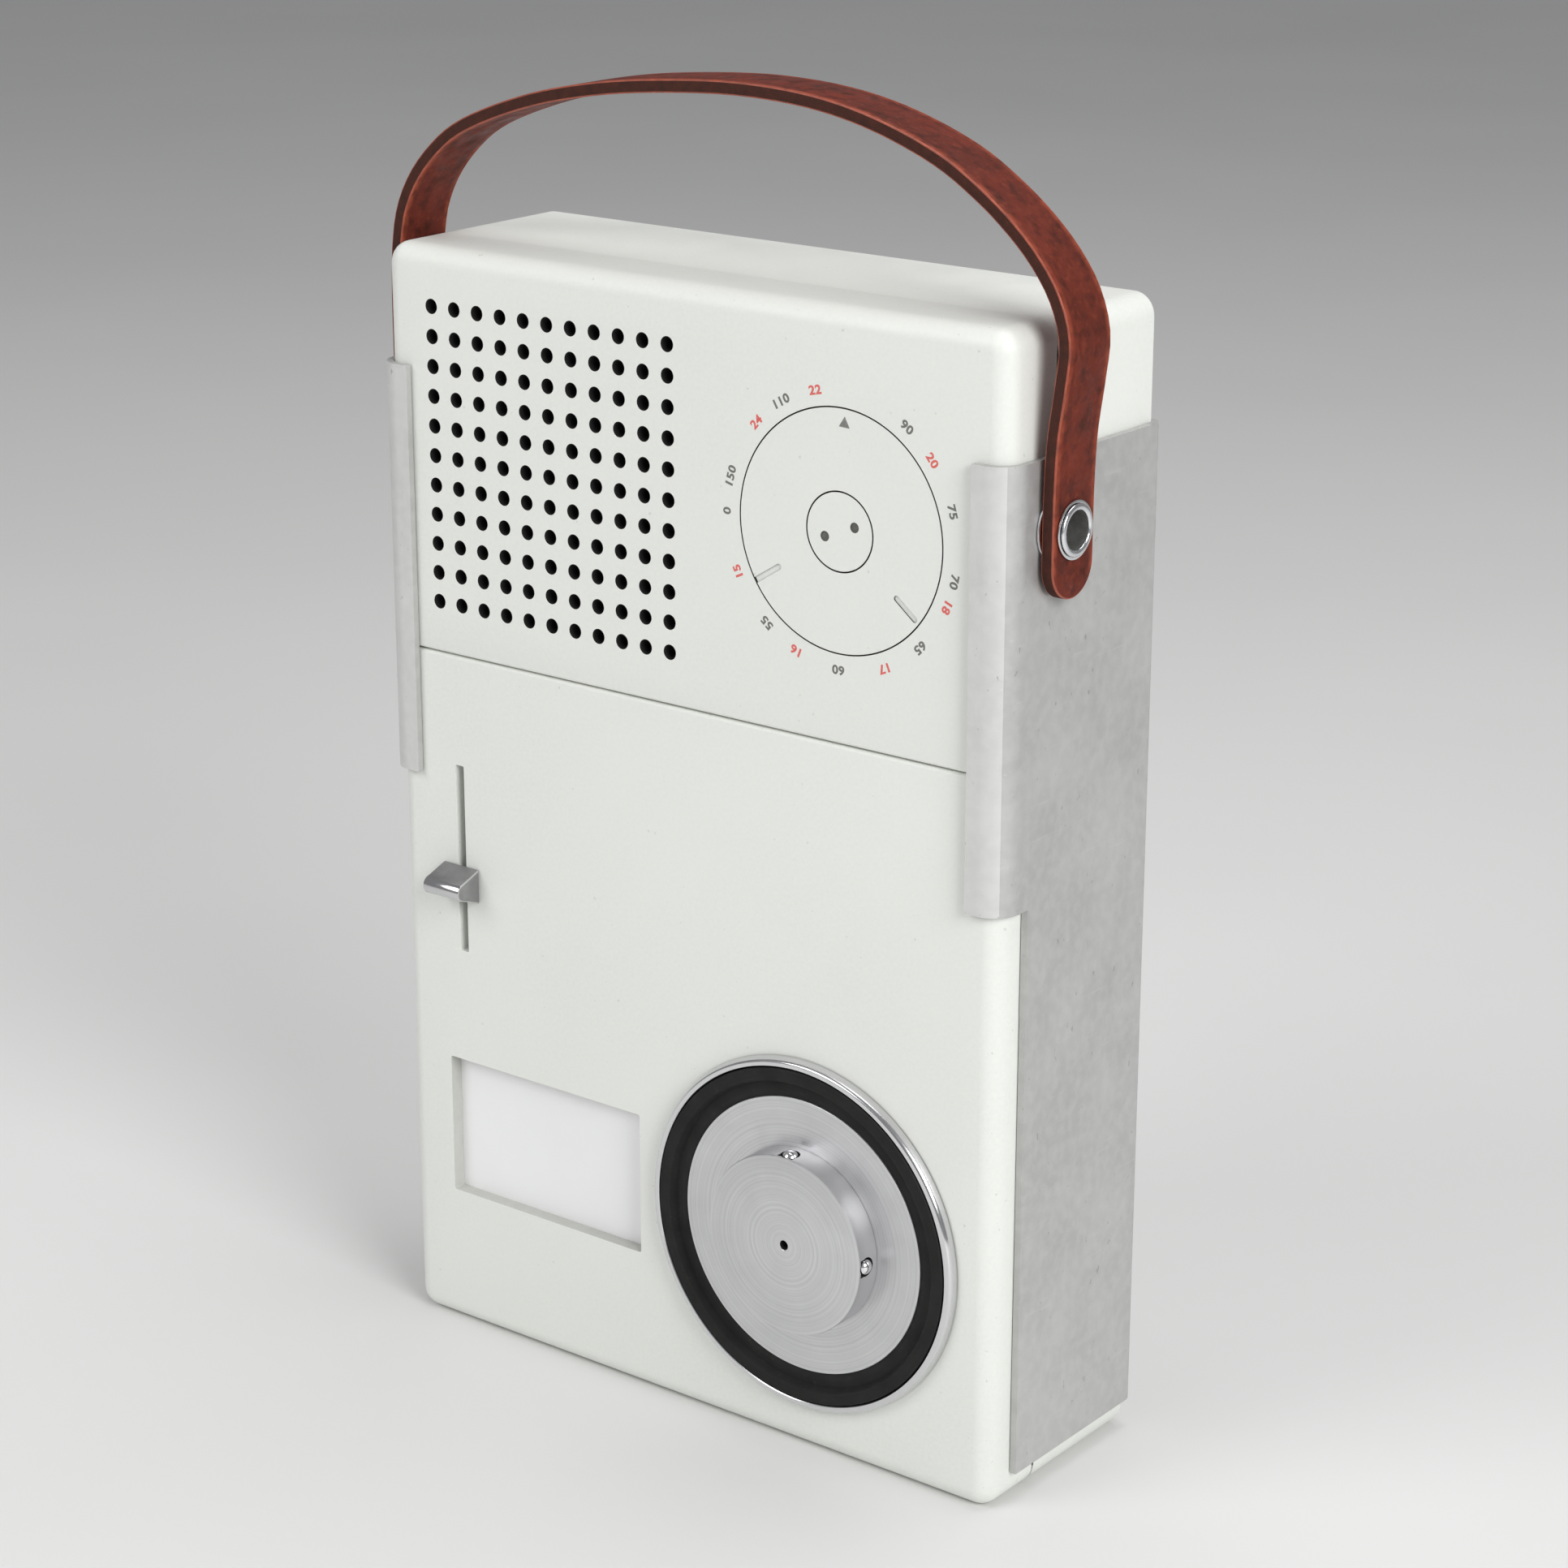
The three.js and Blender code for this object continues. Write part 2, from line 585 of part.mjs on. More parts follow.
// --- carrier: one sheet bent round the back, the sides and, higher up, two front lips ---
function carrierOutline() {
  const bendIn = FRONT_EDGE + SHEET_GAP;
  const bendOut = bendIn + SHEET;
  const backIn = BACK_BEND - SHEET;
  const lipIn = FRONT - SHEET_GAP;
  const lipOut = lipIn - SHEET;
  const backFace = BACK + SHEET_GAP;
  const xo = PLATE_OUTSIDE;
  const xi = PLATE_INSIDE;
  const quarter = Math.PI / 2;
  const shape = new THREE.Shape();
  shape.moveTo(LIP_EDGE_X, lipOut);
  shape.lineTo(xo - bendOut, lipOut);
  shape.absarc(xo - bendOut, lipOut + bendOut, bendOut, -quarter, 0, false);
  shape.lineTo(xo, CARRIER_BACK - BACK_BEND);
  shape.absarc(xo - BACK_BEND, CARRIER_BACK - BACK_BEND, BACK_BEND, 0, quarter, false);
  shape.lineTo(-xo + BACK_BEND, CARRIER_BACK);
  shape.absarc(-xo + BACK_BEND, CARRIER_BACK - BACK_BEND, BACK_BEND, quarter, 2 * quarter, false);
  shape.lineTo(-xo, lipOut + bendOut);
  shape.absarc(-xo + bendOut, lipOut + bendOut, bendOut, 2 * quarter, 3 * quarter, false);
  shape.lineTo(-LIP_EDGE_X, lipOut);
  shape.lineTo(-LIP_EDGE_X, lipIn);
  shape.lineTo(-xi + bendIn, lipIn);
  shape.absarc(-xi + bendIn, lipIn + bendIn, bendIn, 3 * quarter, 2 * quarter, true);
  shape.lineTo(-xi, backFace - backIn);
  shape.absarc(-xi + backIn, backFace - backIn, backIn, 2 * quarter, quarter, true);
  shape.lineTo(xi - backIn, backFace);
  shape.absarc(xi - backIn, backFace - backIn, backIn, quarter, 0, true);
  shape.lineTo(xi, lipIn + bendIn);
  shape.absarc(xi - bendIn, lipIn + bendIn, bendIn, 0, -quarter, true);
  shape.lineTo(LIP_EDGE_X, lipIn);
  return shape;
}
const sheet = solid(
  new THREE.ExtrudeGeometry(carrierOutline(), {
    depth: CARRIER_TOP - CARRIER_BOTTOM,
    bevelEnabled: false,
    curveSegments: 6,
  }).translate(0, 0, CARRIER_BOTTOM),
);
const eyeletBore = rodX(EYELET_TUBE + GAP, -BIG, BIG, EYELET_Y, EYELET_Z, 28);
const countersunkHole = [
  [0, BACK],
  [screwBore, BACK],
  [screwBore, CARRIER_BACK - COUNTERSINK],
  [SCREW_HEAD + GAP, CARRIER_BACK],
  [SCREW_HEAD + GAP, CARRIER_BACK + OVERCUT],
  [0, CARRIER_BACK + OVERCUT],
];
const carrierBody = cut(
  sheet,
  box(-BIG, BIG, -BIG, FRONT + SIDE_SETBACK, CARRIER_BOTTOM - OVERCUT, LIP_BOTTOM),
  eyeletBore,
  ...carrierScrews.map((x) => turnedY(countersunkHole, x, CARRIER_SCREW_Z, 12)),
);
place(carrier, "carrier_sheet", carrierBody, SATIN_ALUMINIUM);

carrierScrews.forEach((x, i) => {
  const top = CARRIER_BACK - CARRIER_SCREW_RECESS;
  const edge = top - CARRIER_SCREW_RECESS;
  const tip = INNER_BACK - CARRIER_SCREW_REACH;
  const body = screw(tip, top - COUNTERSINK, edge, top, x, CARRIER_SCREW_Z);
  place(carrier, `carrier_screw_${i + 1}`, body, SCREW_STEEL);
});

// --- strap: one leather band from eyelet to eyelet, with rounded ends ---
const course = new THREE.CatmullRomCurve3(
  STRAP_COURSE.map(([x, z]) => new THREE.Vector3(x * STRAP_LEG, z * STRAP_RISE, 0)),
  false,
  "centripetal",
);
const outerSide = [];
const innerSide = [];
for (let i = 0; i <= STRAP_STEPS; i += 1) {
  const point = course.getPointAt(i / STRAP_STEPS);
  const along = course.getTangentAt(i / STRAP_STEPS);
  const nx = (-along.y * STRAP_THICK) / 2;
  const nz = (along.x * STRAP_THICK) / 2;
  outerSide.push(new THREE.Vector2(point.x + nx, EYELET_Z + point.y + nz));
  innerSide.push(new THREE.Vector2(point.x - nx, EYELET_Z + point.y - nz));
}
const strapShape = new THREE.Shape([...innerSide, ...outerSide.reverse()]);
const strapFront = EYELET_Y - STRAP_WIDTH / 2;
const strapBack = EYELET_Y + STRAP_WIDTH / 2;
const tailZ = EYELET_Z - STRAP_TAIL;
const strapLimit = join(
  box(-BIG, BIG, strapFront - OVERCUT, strapBack + OVERCUT, tailZ, BIG),
  rodX(STRAP_WIDTH / 2, -BIG, BIG, EYELET_Y, tailZ, 28),
);
const strapBody = slabXZ(strapShape, strapBack, strapFront).intersect(strapLimit);
place(strap, "leather_strap", cut(strapBody, eyeletBore), LEATHER);

// --- eyelets: a cup through plate and strap, a spacer between them and a washer on the strap ---
const strapInside = STRAP_LEG - STRAP_THICK / 2;
const strapOutside = STRAP_LEG + STRAP_THICK / 2;
const cupBottom = PLATE_INSIDE + WASHER_GAP;
const cupBore = EYELET_TUBE - EYELET_WALL;
const cupRim = EYELET_TUBE + EYELET_RIM;
const cupTop = strapOutside + EYELET_STAND;
const washerEdge = EYELET_TUBE + WASHER_WIDTH;
const spacerEdge = EYELET_TUBE + SPACER_WIDTH;
const washerInside = strapOutside + WASHER_GAP;

function ring(inner, outer, from, to) {
  return [
    [inner, from],
    [outer, from],
    [outer, to],
    [inner, to],
    [inner, from],
  ];
}
for (const [label, side] of [
  ["right", 1],
  ["left", -1],
]) {
  const cup = [
    [0, cupBottom],
    [EYELET_TUBE, cupBottom],
    [EYELET_TUBE, cupTop - EYELET_RIM_HEIGHT],
    [cupRim, cupTop - EYELET_RIM_HEIGHT],
    [cupRim, cupTop - EYELET_RIM_HEIGHT / 3],
    [EYELET_TUBE + EYELET_RIM / 2, cupTop],
    [cupBore + EYELET_WALL / 2, cupTop],
    [cupBore, cupTop - EYELET_RIM_HEIGHT / 2],
    [cupBore, cupBottom + EYELET_FLOOR],
    [0, cupBottom + EYELET_FLOOR],
  ];
  place(carrier, `eyelet_${label}`, turnedX(cup, side, 20), CHROME);
  const spacer = ring(EYELET_TUBE + GAP, spacerEdge, PLATE_OUTSIDE + SHEET_GAP, strapInside - SHEET_GAP);
  place(carrier, `spacer_washer_${label}`, turnedX(spacer, side, 20), CHROME);
  const washer = ring(EYELET_TUBE + GAP, washerEdge, washerInside, washerInside + WASHER_THICK);
  place(strap, `strap_washer_${label}`, turnedX(washer, side, 20), CHROME);
}

// --- tuning dial: disc in the front wall, with a hub behind it that carries the dial gear ---
const knobBore = KNOB_RADIUS + GAP;
const shaftBore = KNOB_SHAFT + GAP;
const dialBack = FRONT + DIAL_THICK;
const webFront = dialBack + GAP;
const webBack = webFront + HUB_WEB;
const gearFront = FRONT + GEAR_DEPTH;
const gearBack = gearFront + GEAR_THICK;
const dialOutline = [
  [knobBore, FRONT],
  [DIAL_RADIUS, FRONT],
  [DIAL_RADIUS, dialBack],
  [knobBore + HUB_WALL, dialBack],
  [knobBore + HUB_WALL, webBack],
  [DIAL_GEAR_RADIUS, webBack],
  [DIAL_GEAR_RADIUS, gearBack],
  [shaftBore, gearBack],
  [shaftBore, webFront],
  [knobBore, webFront],
  [knobBore, FRONT],
];

function fingerGroove(degrees) {
  const outer = DIAL_RADIUS - GROOVE_RIM;
  const groove = new THREE.BoxGeometry(GROOVE_LENGTH, 2 * GROOVE_DEPTH, GROOVE_WIDTH)
    .translate(outer - GROOVE_LENGTH / 2, FRONT, 0)
    .rotateY(-radians(degrees))
    .translate(DIAL_X, 0, DIAL_Z);
  return solid(groove);
}
const dial = cut(
  turnedY(dialOutline, DIAL_X, DIAL_Z, 40),
  fingerGroove(POINTER_TURN + GROOVE_SPREAD),
  fingerGroove(POINTER_TURN - GROOVE_SPREAD),
);
place(dialUnit, "tuning_dial", dial, WHITE_PLASTIC);

// --- volume knob in the middle of the dial, on the control behind it ---
const controlFront = FRONT + VOLUME_DEPTH;
const knobOutline = [
  [0, FRONT],
  [KNOB_RADIUS, FRONT],
  [KNOB_RADIUS, dialBack],
  [KNOB_SHAFT, dialBack],
  [KNOB_SHAFT, controlFront - GAP],
  [0, controlFront - GAP],
];
const knobDots = [KNOB_DOT_TURN, KNOB_DOT_TURN + 180].map((turn) => {
  const x = DIAL_X + KNOB_DOT_OFFSET * Math.cos(radians(turn));
  const z = DIAL_Z + KNOB_DOT_OFFSET * Math.sin(radians(turn));
  return rodY(KNOB_DOT_RADIUS, FRONT - OVERCUT, FRONT + KNOB_DOT_DEPTH, x, z, 14);
});
place(radio, "volume_knob", cut(turnedY(knobOutline, DIAL_X, DIAL_Z, 24), ...knobDots), WHITE_PLASTIC);
const control = rodY(VOLUME_RADIUS, controlFront, controlFront + VOLUME_LENGTH, DIAL_X, DIAL_Z, 20);
place(radio, "volume_control", control, PLAIN_STEEL);

// --- tuning drum on the capacitor: the dial's whole travel turns it by the capacitor's travel ---
const drumRadius = (DIAL_GEAR_RADIUS * DIAL_TRAVEL) / CAPACITOR_TRAVEL;
const drumReach = DIAL_GEAR_RADIUS + drumRadius + MESH_GAP;
const drumX = DIAL_X + drumReach * Math.cos(radians(DRUM_DIRECTION));
const drumZ = DIAL_Z + drumReach * Math.sin(radians(DRUM_DIRECTION));
place(radio, "tuning_drum", rodY(drumRadius, gearFront, gearBack, drumX, drumZ, 28), CREAM_PLASTIC);
const capacitorTop = DIAL_Z - VOLUME_RADIUS - 2 * GAP;
const capacitorFront = gearBack + GAP;
const capacitor = box(
  drumX - CAPACITOR_SIZE / 2,
  drumX + CAPACITOR_SIZE / 2,
  capacitorFront,
  capacitorFront + CAPACITOR_THICK,
  capacitorTop - CAPACITOR_SIZE,
  capacitorTop,
);
place(radio, "tuning_capacitor", capacitor, PLAIN_STEEL);

// --- speaker behind the sound holes: cloth, pressed frame, paper cone and magnet ---
const clothFront = INNER_FRONT + GAP;
const clothReach = HOLE_SPAN / 2 + CLOTH_MARGIN;
const cloth = box(
  SPEAKER_X - clothReach,
  SPEAKER_X + clothReach,
  clothFront,
  clothFront + CLOTH_THICK,
  SPEAKER_Z - clothReach,
  SPEAKER_Z + clothReach,
);
place(radio, "speaker_cloth", cloth, BLACK_CLOTH);
const flangeFront = INNER_FRONT + SPEAKER_SEAT;
const flangeBack = flangeFront + 1.5;
const flangeInside = SPEAKER_RADIUS - 4.5;
const basketBack = flangeFront + 14.1;
const basket = [
  [15, flangeFront + 12.8],
  [17, flangeFront + 11.5],
  [flangeInside, flangeBack],
  [flangeInside, flangeFront],
  [SPEAKER_RADIUS, flangeFront],
  [SPEAKER_RADIUS, flangeBack],
  [SPEAKER_RADIUS - 3, flangeBack],
  [18, flangeFront + 13],
  [18, basketBack],
  [15, basketBack],
  [15, flangeFront + 12.8],
];
place(radio, "speaker_frame", turnedY(basket, SPEAKER_X, SPEAKER_Z, 20), DARK_STEEL);
const coneBack = flangeFront + 10;
const coneEdge = flangeInside - 0.7;
const cone = [
  [0, coneBack],
  [8, coneBack],
  [coneEdge, flangeFront + 0.9],
  [coneEdge, flangeFront + 1.6],
  [8.5, coneBack + 0.8],
  [0, coneBack + 0.8],
];
place(radio, "speaker_cone", turnedY(cone, SPEAKER_X, SPEAKER_Z, 20), BLACK_PLASTIC);
const magnetFront = basketBack + GAP;
const magnet = rodY(MAGNET_RADIUS, magnetFront, magnetFront + MAGNET_LENGTH, SPEAKER_X, SPEAKER_Z, 20);
place(radio, "speaker_magnet", magnet, DARK_STEEL);

// --- circuit board, aerial and battery ---
const boardRight = HALF - BOSS_INSET_X;
const boardFront = capacitorFront + CAPACITOR_THICK + BOARD_CLEARANCE;
const boardBottom = RADIO_BOTTOM + BOARD_LIFT;
const board = box(
  boardRight - BOARD_WIDTH,
  boardRight,
  boardFront,
  boardFront + BOARD_THICK,
  boardBottom,
  boardBottom + BOARD_HEIGHT,
);
place(radio, "radio_circuit_board", board, BOARD_BROWN);
const rodEnd = HALF - FERRITE_INSET;
const ferriteY = INNER_BACK - FERRITE_SETBACK;
const ferriteZ = CASE_HEIGHT - FERRITE_DROP;
place(radio, "ferrite_rod", rodX(FERRITE_RADIUS, -rodEnd, rodEnd, ferriteY, ferriteZ, 16), FERRITE_GREY);
const coilLeft = COIL_X - COIL_LENGTH / 2;
const coilRight = COIL_X + COIL_LENGTH / 2;
const coil = cut(
  rodX(COIL_RADIUS, coilLeft, coilRight, ferriteY, ferriteZ, 16),
  rodX(FERRITE_RADIUS + GAP, coilLeft - OVERCUT, coilRight + OVERCUT, ferriteY, ferriteZ, 16),
);
place(radio, "aerial_coil", coil, BRASS);
const batteryLeft = -HALF + WALL + 2 * BOSS_RADIUS + GAP;
const batteryBack = INNER_BACK - GAP;
const batteryBottom = RADIO_FLOOR + GAP;
const battery = box(
  batteryLeft,
  batteryLeft + BATTERY_LENGTH,
  batteryBack - BATTERY_THICK,
  batteryBack,
  batteryBottom,
  batteryBottom + BATTERY_HEIGHT,
);
place(radio, "radio_battery", battery, CELL_WRAP);
const linkBottom = PLAYER_HEIGHT - WALL - LINK_REACH;
const link = rodZ(LINK_RADIUS, linkBottom, RADIO_FLOOR + LINK_REACH, LINK_X, LINK_Y, 16);
place(radio, "link_plug", link, BLACK_PLASTIC);

// --- turntable: turned dish with a polished rim, in a round opening of the front wall ---
const level = (height) => FRONT - height;
const shaftHole = SPINDLE_RADIUS + GAP;
const matOuter = PLATTER_RADIUS - RIM_WIDTH - GAP;
const matStep = matOuter - MAT_BAND;
const matInner = matOuter - MAT_WIDTH;
const matSeat = matOuter + GAP;
const matFoot = matStep - GAP;
const dishEdge = PLATTER_OPENING - 0.5;
const dish = [
  [shaftHole, level(DISC_HEIGHT)],
  [matInner - GAP, level(DISC_HEIGHT)],
  [matInner - GAP, level(-0.5)],
  [matFoot + GAP, level(-0.5)],
  [matFoot + GAP, level(MAT_FLOOR)],
  [matSeat, level(MAT_FLOOR)],
  [matSeat, level(RIM_HEIGHT)],
  [PLATTER_RADIUS - 0.95, level(RIM_HEIGHT)],
  [PLATTER_RADIUS - 0.5, level(RIM_HEIGHT - 0.4)],
  [PLATTER_RADIUS - 0.15, level(RIM_HEIGHT / 2)],
  [PLATTER_RADIUS, level(GAP)],
  [dishEdge, level(GAP)],
  [dishEdge, level(-DISH_DEPTH)],
  [DISH_HUB_RADIUS, level(-DISH_DEPTH)],
  [DISH_HUB_RADIUS, level(-DISH_HUB_DEPTH)],
  [shaftHole, level(-DISH_HUB_DEPTH)],
  [shaftHole, level(DISC_HEIGHT)],
];
place(turntable, "platter", turnedY(dish, PLATTER_X, PLATTER_Z, 36), SATIN_ALUMINIUM);

const matLow = -0.2;
const mat = [
  [matInner, level(MAT_FLOOR)],
  [matStep - 0.6, level(MAT_FLOOR)],
  [matStep, level(MAT_HEIGHT)],
  [matOuter - 0.2, level(MAT_HEIGHT)],
  [matOuter, level(MAT_HEIGHT - 0.2)],
  [matOuter, level(MAT_FLOOR + GAP)],
  [matFoot, level(MAT_FLOOR + GAP)],
  [matFoot, level(matLow)],
  [matInner, level(matLow)],
  [matInner, level(MAT_FLOOR)],
];
place(turntable, "rubber_mat", turnedY(mat, PLATTER_X, PLATTER_Z, 36), BLACK_RUBBER);

// --- record hub on the dish, with spring balls round it that hold a record's large hole ---
const spindleFront = level(SPINDLE_HEIGHT);
const hubOutline = [
  [CENTRE_HOLE, level(PUCK_HEIGHT)],
  [PUCK_RADIUS - GAP, level(PUCK_HEIGHT)],
  [PUCK_RADIUS, level(PUCK_HEIGHT - GAP)],
  [PUCK_RADIUS, level(DISC_HEIGHT + GAP)],
  [shaftHole, level(DISC_HEIGHT + GAP)],
  [shaftHole, spindleFront - GAP],
  [CENTRE_HOLE, spindleFront - GAP],
  [CENTRE_HOLE, level(PUCK_HEIGHT)],
];
const ballSeat = BALL_RADIUS + BALL_GAP;
const ballReach = PUCK_RADIUS - BALL_SETBACK;
const ballTurns = Array.from({ length: BALL_COUNT }, (_, i) => (i * 2 * Math.PI) / BALL_COUNT);
const sockets = ballTurns.map((turn) => {
  const socket = new THREE.CylinderGeometry(ballSeat, ballSeat, 3 * BALL_RADIUS, 16)
    .rotateZ(Math.PI / 2)
    .translate(PUCK_RADIUS, level(BALL_HEIGHT), 0)
    .rotateY(-turn)
    .translate(PLATTER_X, 0, PLATTER_Z);
  return solid(socket);
});
const hub = cut(turnedY(hubOutline, PLATTER_X, PLATTER_Z, 36), ...sockets);
place(turntable, "record_hub", hub, SATIN_ALUMINIUM);
ballTurns.forEach((turn, i) => {
  const x = PLATTER_X + ballReach * Math.cos(turn);
  const z = PLATTER_Z + ballReach * Math.sin(turn);
  const ball = new THREE.SphereGeometry(BALL_RADIUS, 8, 6).translate(x, level(BALL_HEIGHT), z);
  place(turntable, `catch_ball_${i + 1}`, solid(ball), CHROME);
});

const spindleBack = spindleFront + SPINDLE_LENGTH;
const spindle = rodY(SPINDLE_RADIUS, spindleFront, spindleBack, PLATTER_X, PLATTER_Z, 20);
place(turntable, "spindle", spindle, CHROME);
const wheelFront = FRONT + WHEEL_DEPTH;
const wheelBack = wheelFront + WHEEL_THICK;
const wheel = cut(
  rodY(WHEEL_RADIUS, wheelFront, wheelBack, PLATTER_X, PLATTER_Z, 36),
  rodY(shaftHole, wheelFront - OVERCUT, wheelBack + OVERCUT, PLATTER_X, PLATTER_Z, 20),
);
place(turntable, "drive_wheel", wheel, CREAM_PLASTIC);

// --- drive: spindle sleeve and motor on the chassis, belt from pulley to wheel ---
const sleeveRadius = SPINDLE_RADIUS + SLEEVE_WALL;
const sleeve = cut(
  rodY(sleeveRadius, wheelBack + OVERCUT, spindleBack + GAP + SLEEVE_FLOOR, PLATTER_X, PLATTER_Z, 24),
  rodY(shaftHole, wheelBack, spindleBack + GAP, PLATTER_X, PLATTER_Z, 20),
);
place(player, "bearing_sleeve", sleeve, BRASS);
const chassisFrom = chassisFront - OVERCUT;
const chassisTo = chassisBack + OVERCUT;
const chassis = cut(
  box(chassisLeft, chassisRight, chassisFront, chassisBack, CHASSIS_LIFT, PLAYER_HEIGHT - CHASSIS_DROP),
  rodY(sleeveRadius + GAP, chassisFrom, chassisTo, PLATTER_X, PLATTER_Z, 24),
  rodY(SHAFT_RADIUS + GAP, chassisFrom, chassisTo, MOTOR_X, MOTOR_Z, 16),
);
const tongue = cut(
  box(
    ARM_X - TONGUE_HALF,
    chassisLeft + ROOT,
    chassisFront,
    chassisBack,
    PIVOT_Z - TONGUE_HALF,
    PIVOT_Z + TONGUE_HALF,
  ),
  rodY(PIVOT_RADIUS + GAP, chassisFrom, chassisTo, ARM_X, PIVOT_Z, 12),
);
place(player, "player_chassis", join(chassis, tongue), PLAIN_STEEL);
const motor = rodY(MOTOR_RADIUS, chassisBack + GAP, INNER_BACK - MOTOR_CLEARANCE, MOTOR_X, MOTOR_Z, 28);
place(player, "motor", motor, PLAIN_STEEL);
const pulley = [
  [0, wheelFront],
  [PULLEY_RADIUS, wheelFront],
  [PULLEY_RADIUS, wheelBack],
  [SHAFT_RADIUS, wheelBack],
  [SHAFT_RADIUS, chassisBack],
  [0, chassisBack],
];
place(player, "motor_pulley", turnedY(pulley, MOTOR_X, MOTOR_Z, 20), BRASS);

// Belt line round wheel and pulley, at a given distance outside both.
function beltLine(offset) {
  const dx = MOTOR_X - PLATTER_X;
  const dz = MOTOR_Z - PLATTER_Z;
  const direction = Math.atan2(dz, dx);
  const lean = Math.acos((WHEEL_RADIUS - PULLEY_RADIUS) / Math.hypot(dx, dz));
  const points = [];
  const arc = (x, z, radius, from, to, steps) => {
    for (let i = 0; i <= steps; i += 1) {
      const angle = from + ((to - from) * i) / steps;
      points.push(new THREE.Vector2(x + radius * Math.cos(angle), z + radius * Math.sin(angle)));
    }
  };
  const around = direction + 2 * Math.PI - lean;
  arc(PLATTER_X, PLATTER_Z, WHEEL_RADIUS + offset, direction + lean, around, 24);
  arc(MOTOR_X, MOTOR_Z, PULLEY_RADIUS + offset, direction - lean, direction + lean, 8);
  return points;
}
const beltShape = new THREE.Shape(beltLine(GAP + BELT_THICK));
beltShape.holes.push(new THREE.Path(beltLine(GAP).reverse()));
const belt = slabXZ(beltShape, wheelBack - BELT_MARGIN, wheelFront + BELT_MARGIN);
place(player, "drive_belt", belt, BLACK_RUBBER);

const cellLeft = -HALF + CELL_INSET_X;
const cellY = INNER_BACK - CELL_GAP - CELL_RADIUS;
for (let i = 0; i < CELL_COUNT; i += 1) {
  const topZ = PLAYER_HEIGHT - WALL - 2 * CELL_GAP - CELL_RADIUS;
  const z = topZ - i * (2 * CELL_RADIUS + CELL_GAP);
  const cell = rodX(CELL_RADIUS, cellLeft, cellLeft + CELL_LENGTH, cellY, z, 24);
  place(player, `player_cell_${i + 1}`, cell, CELL_WRAP);
}

// --- pickup: an arm that hangs behind the window and swings across it on a pin in the chassis ---
const needleZ = (WINDOW_BOTTOM + WINDOW_TOP) / 2;
const armFront = FRONT + ARM_DEPTH;
const armBack = armFront + ARM_THICK;
const pinBore = rodY(PIVOT_RADIUS + GAP, armFront - OVERCUT, armBack + OVERCUT, ARM_X, PIVOT_Z, 10);
const armBar = box(
  ARM_X - ARM_WIDTH / 2,
  ARM_X + ARM_WIDTH / 2,
  armFront,
  armBack,
  needleZ - ARM_TAIL,
  PIVOT_Z + ARM_TAIL,
);
place(pickup, "pickup_arm", cut(armBar, pinBore), PLAIN_STEEL);
const cartridgeBack = armFront - GAP;
const cartridgeFront = cartridgeBack - CARTRIDGE_THICK;
const cartridge = box(
  ARM_X - CARTRIDGE_SIZE / 2,
  ARM_X + CARTRIDGE_SIZE / 2,
  cartridgeFront,
  cartridgeBack,
  needleZ - ARM_TAIL,
  needleZ - ARM_TAIL + CARTRIDGE_LENGTH,
);
place(pickup, "pickup_cartridge", cartridge, BLACK_PLASTIC);
const stylusOutline = [
  [0, cartridgeFront - GAP - 1.4],
  [0.8, cartridgeFront - GAP - 0.1],
  [0, cartridgeFront - GAP],
];
place(pickup, "stylus", turnedY(stylusOutline, ARM_X, needleZ, 8), CHROME);
const pinHeadFront = armFront - GAP - PIVOT_HEAD_THICK;
const pinOutline = [
  [0, pinHeadFront],
  [PIVOT_HEAD, pinHeadFront],
  [PIVOT_HEAD, armFront - GAP],
  [PIVOT_RADIUS, armFront - GAP],
  [PIVOT_RADIUS, chassisBack],
  [0, chassisBack],
];
place(player, "pickup_pivot", turnedY(pinOutline, ARM_X, PIVOT_Z, 12), SCREW_STEEL);

// --- slide: a knob outside and a carriage inside, which lifts the shutter off the window ---
const shutterFront = INNER_FRONT + GAP;
const shutterBack = shutterFront + SHUTTER_THICK;
const shutterTop = WINDOW_TOP + SHUTTER_HEAD;
const shutter = box(
  WINDOW_LEFT - SHUTTER_SIDE,
  WINDOW_RIGHT + SHUTTER_SIDE,
  shutterFront,
  shutterBack,
  WINDOW_BOTTOM - SHUTTER_FOOT,
  shutterTop,
);
place(slide, "pickup_shutter", shutter, SMOOTH_WHITE);
const stemHalf = SLOT_WIDTH / 2 - STEM_GAP;
const barFront = shutterBack + GAP;
const bar = box(
  SLOT_X - CARRIAGE_HALF_WIDTH,
  SLOT_X + CARRIAGE_HALF_WIDTH,
  barFront,
  barFront + CARRIAGE_THICK,
  shutterTop - CARRIAGE_OVERLAP,
  SLIDE_Z + CARRIAGE_HEAD,
);
const stem = box(
  SLOT_X - stemHalf,
  SLOT_X + stemHalf,
  FRONT - STEM_REACH,
  barFront + ROOT,
  SLIDE_Z - STEM_HALF_HEIGHT,
  SLIDE_Z + STEM_HALF_HEIGHT,
);
place(slide, "slide_carriage", join(bar, stem), PLAIN_STEEL);

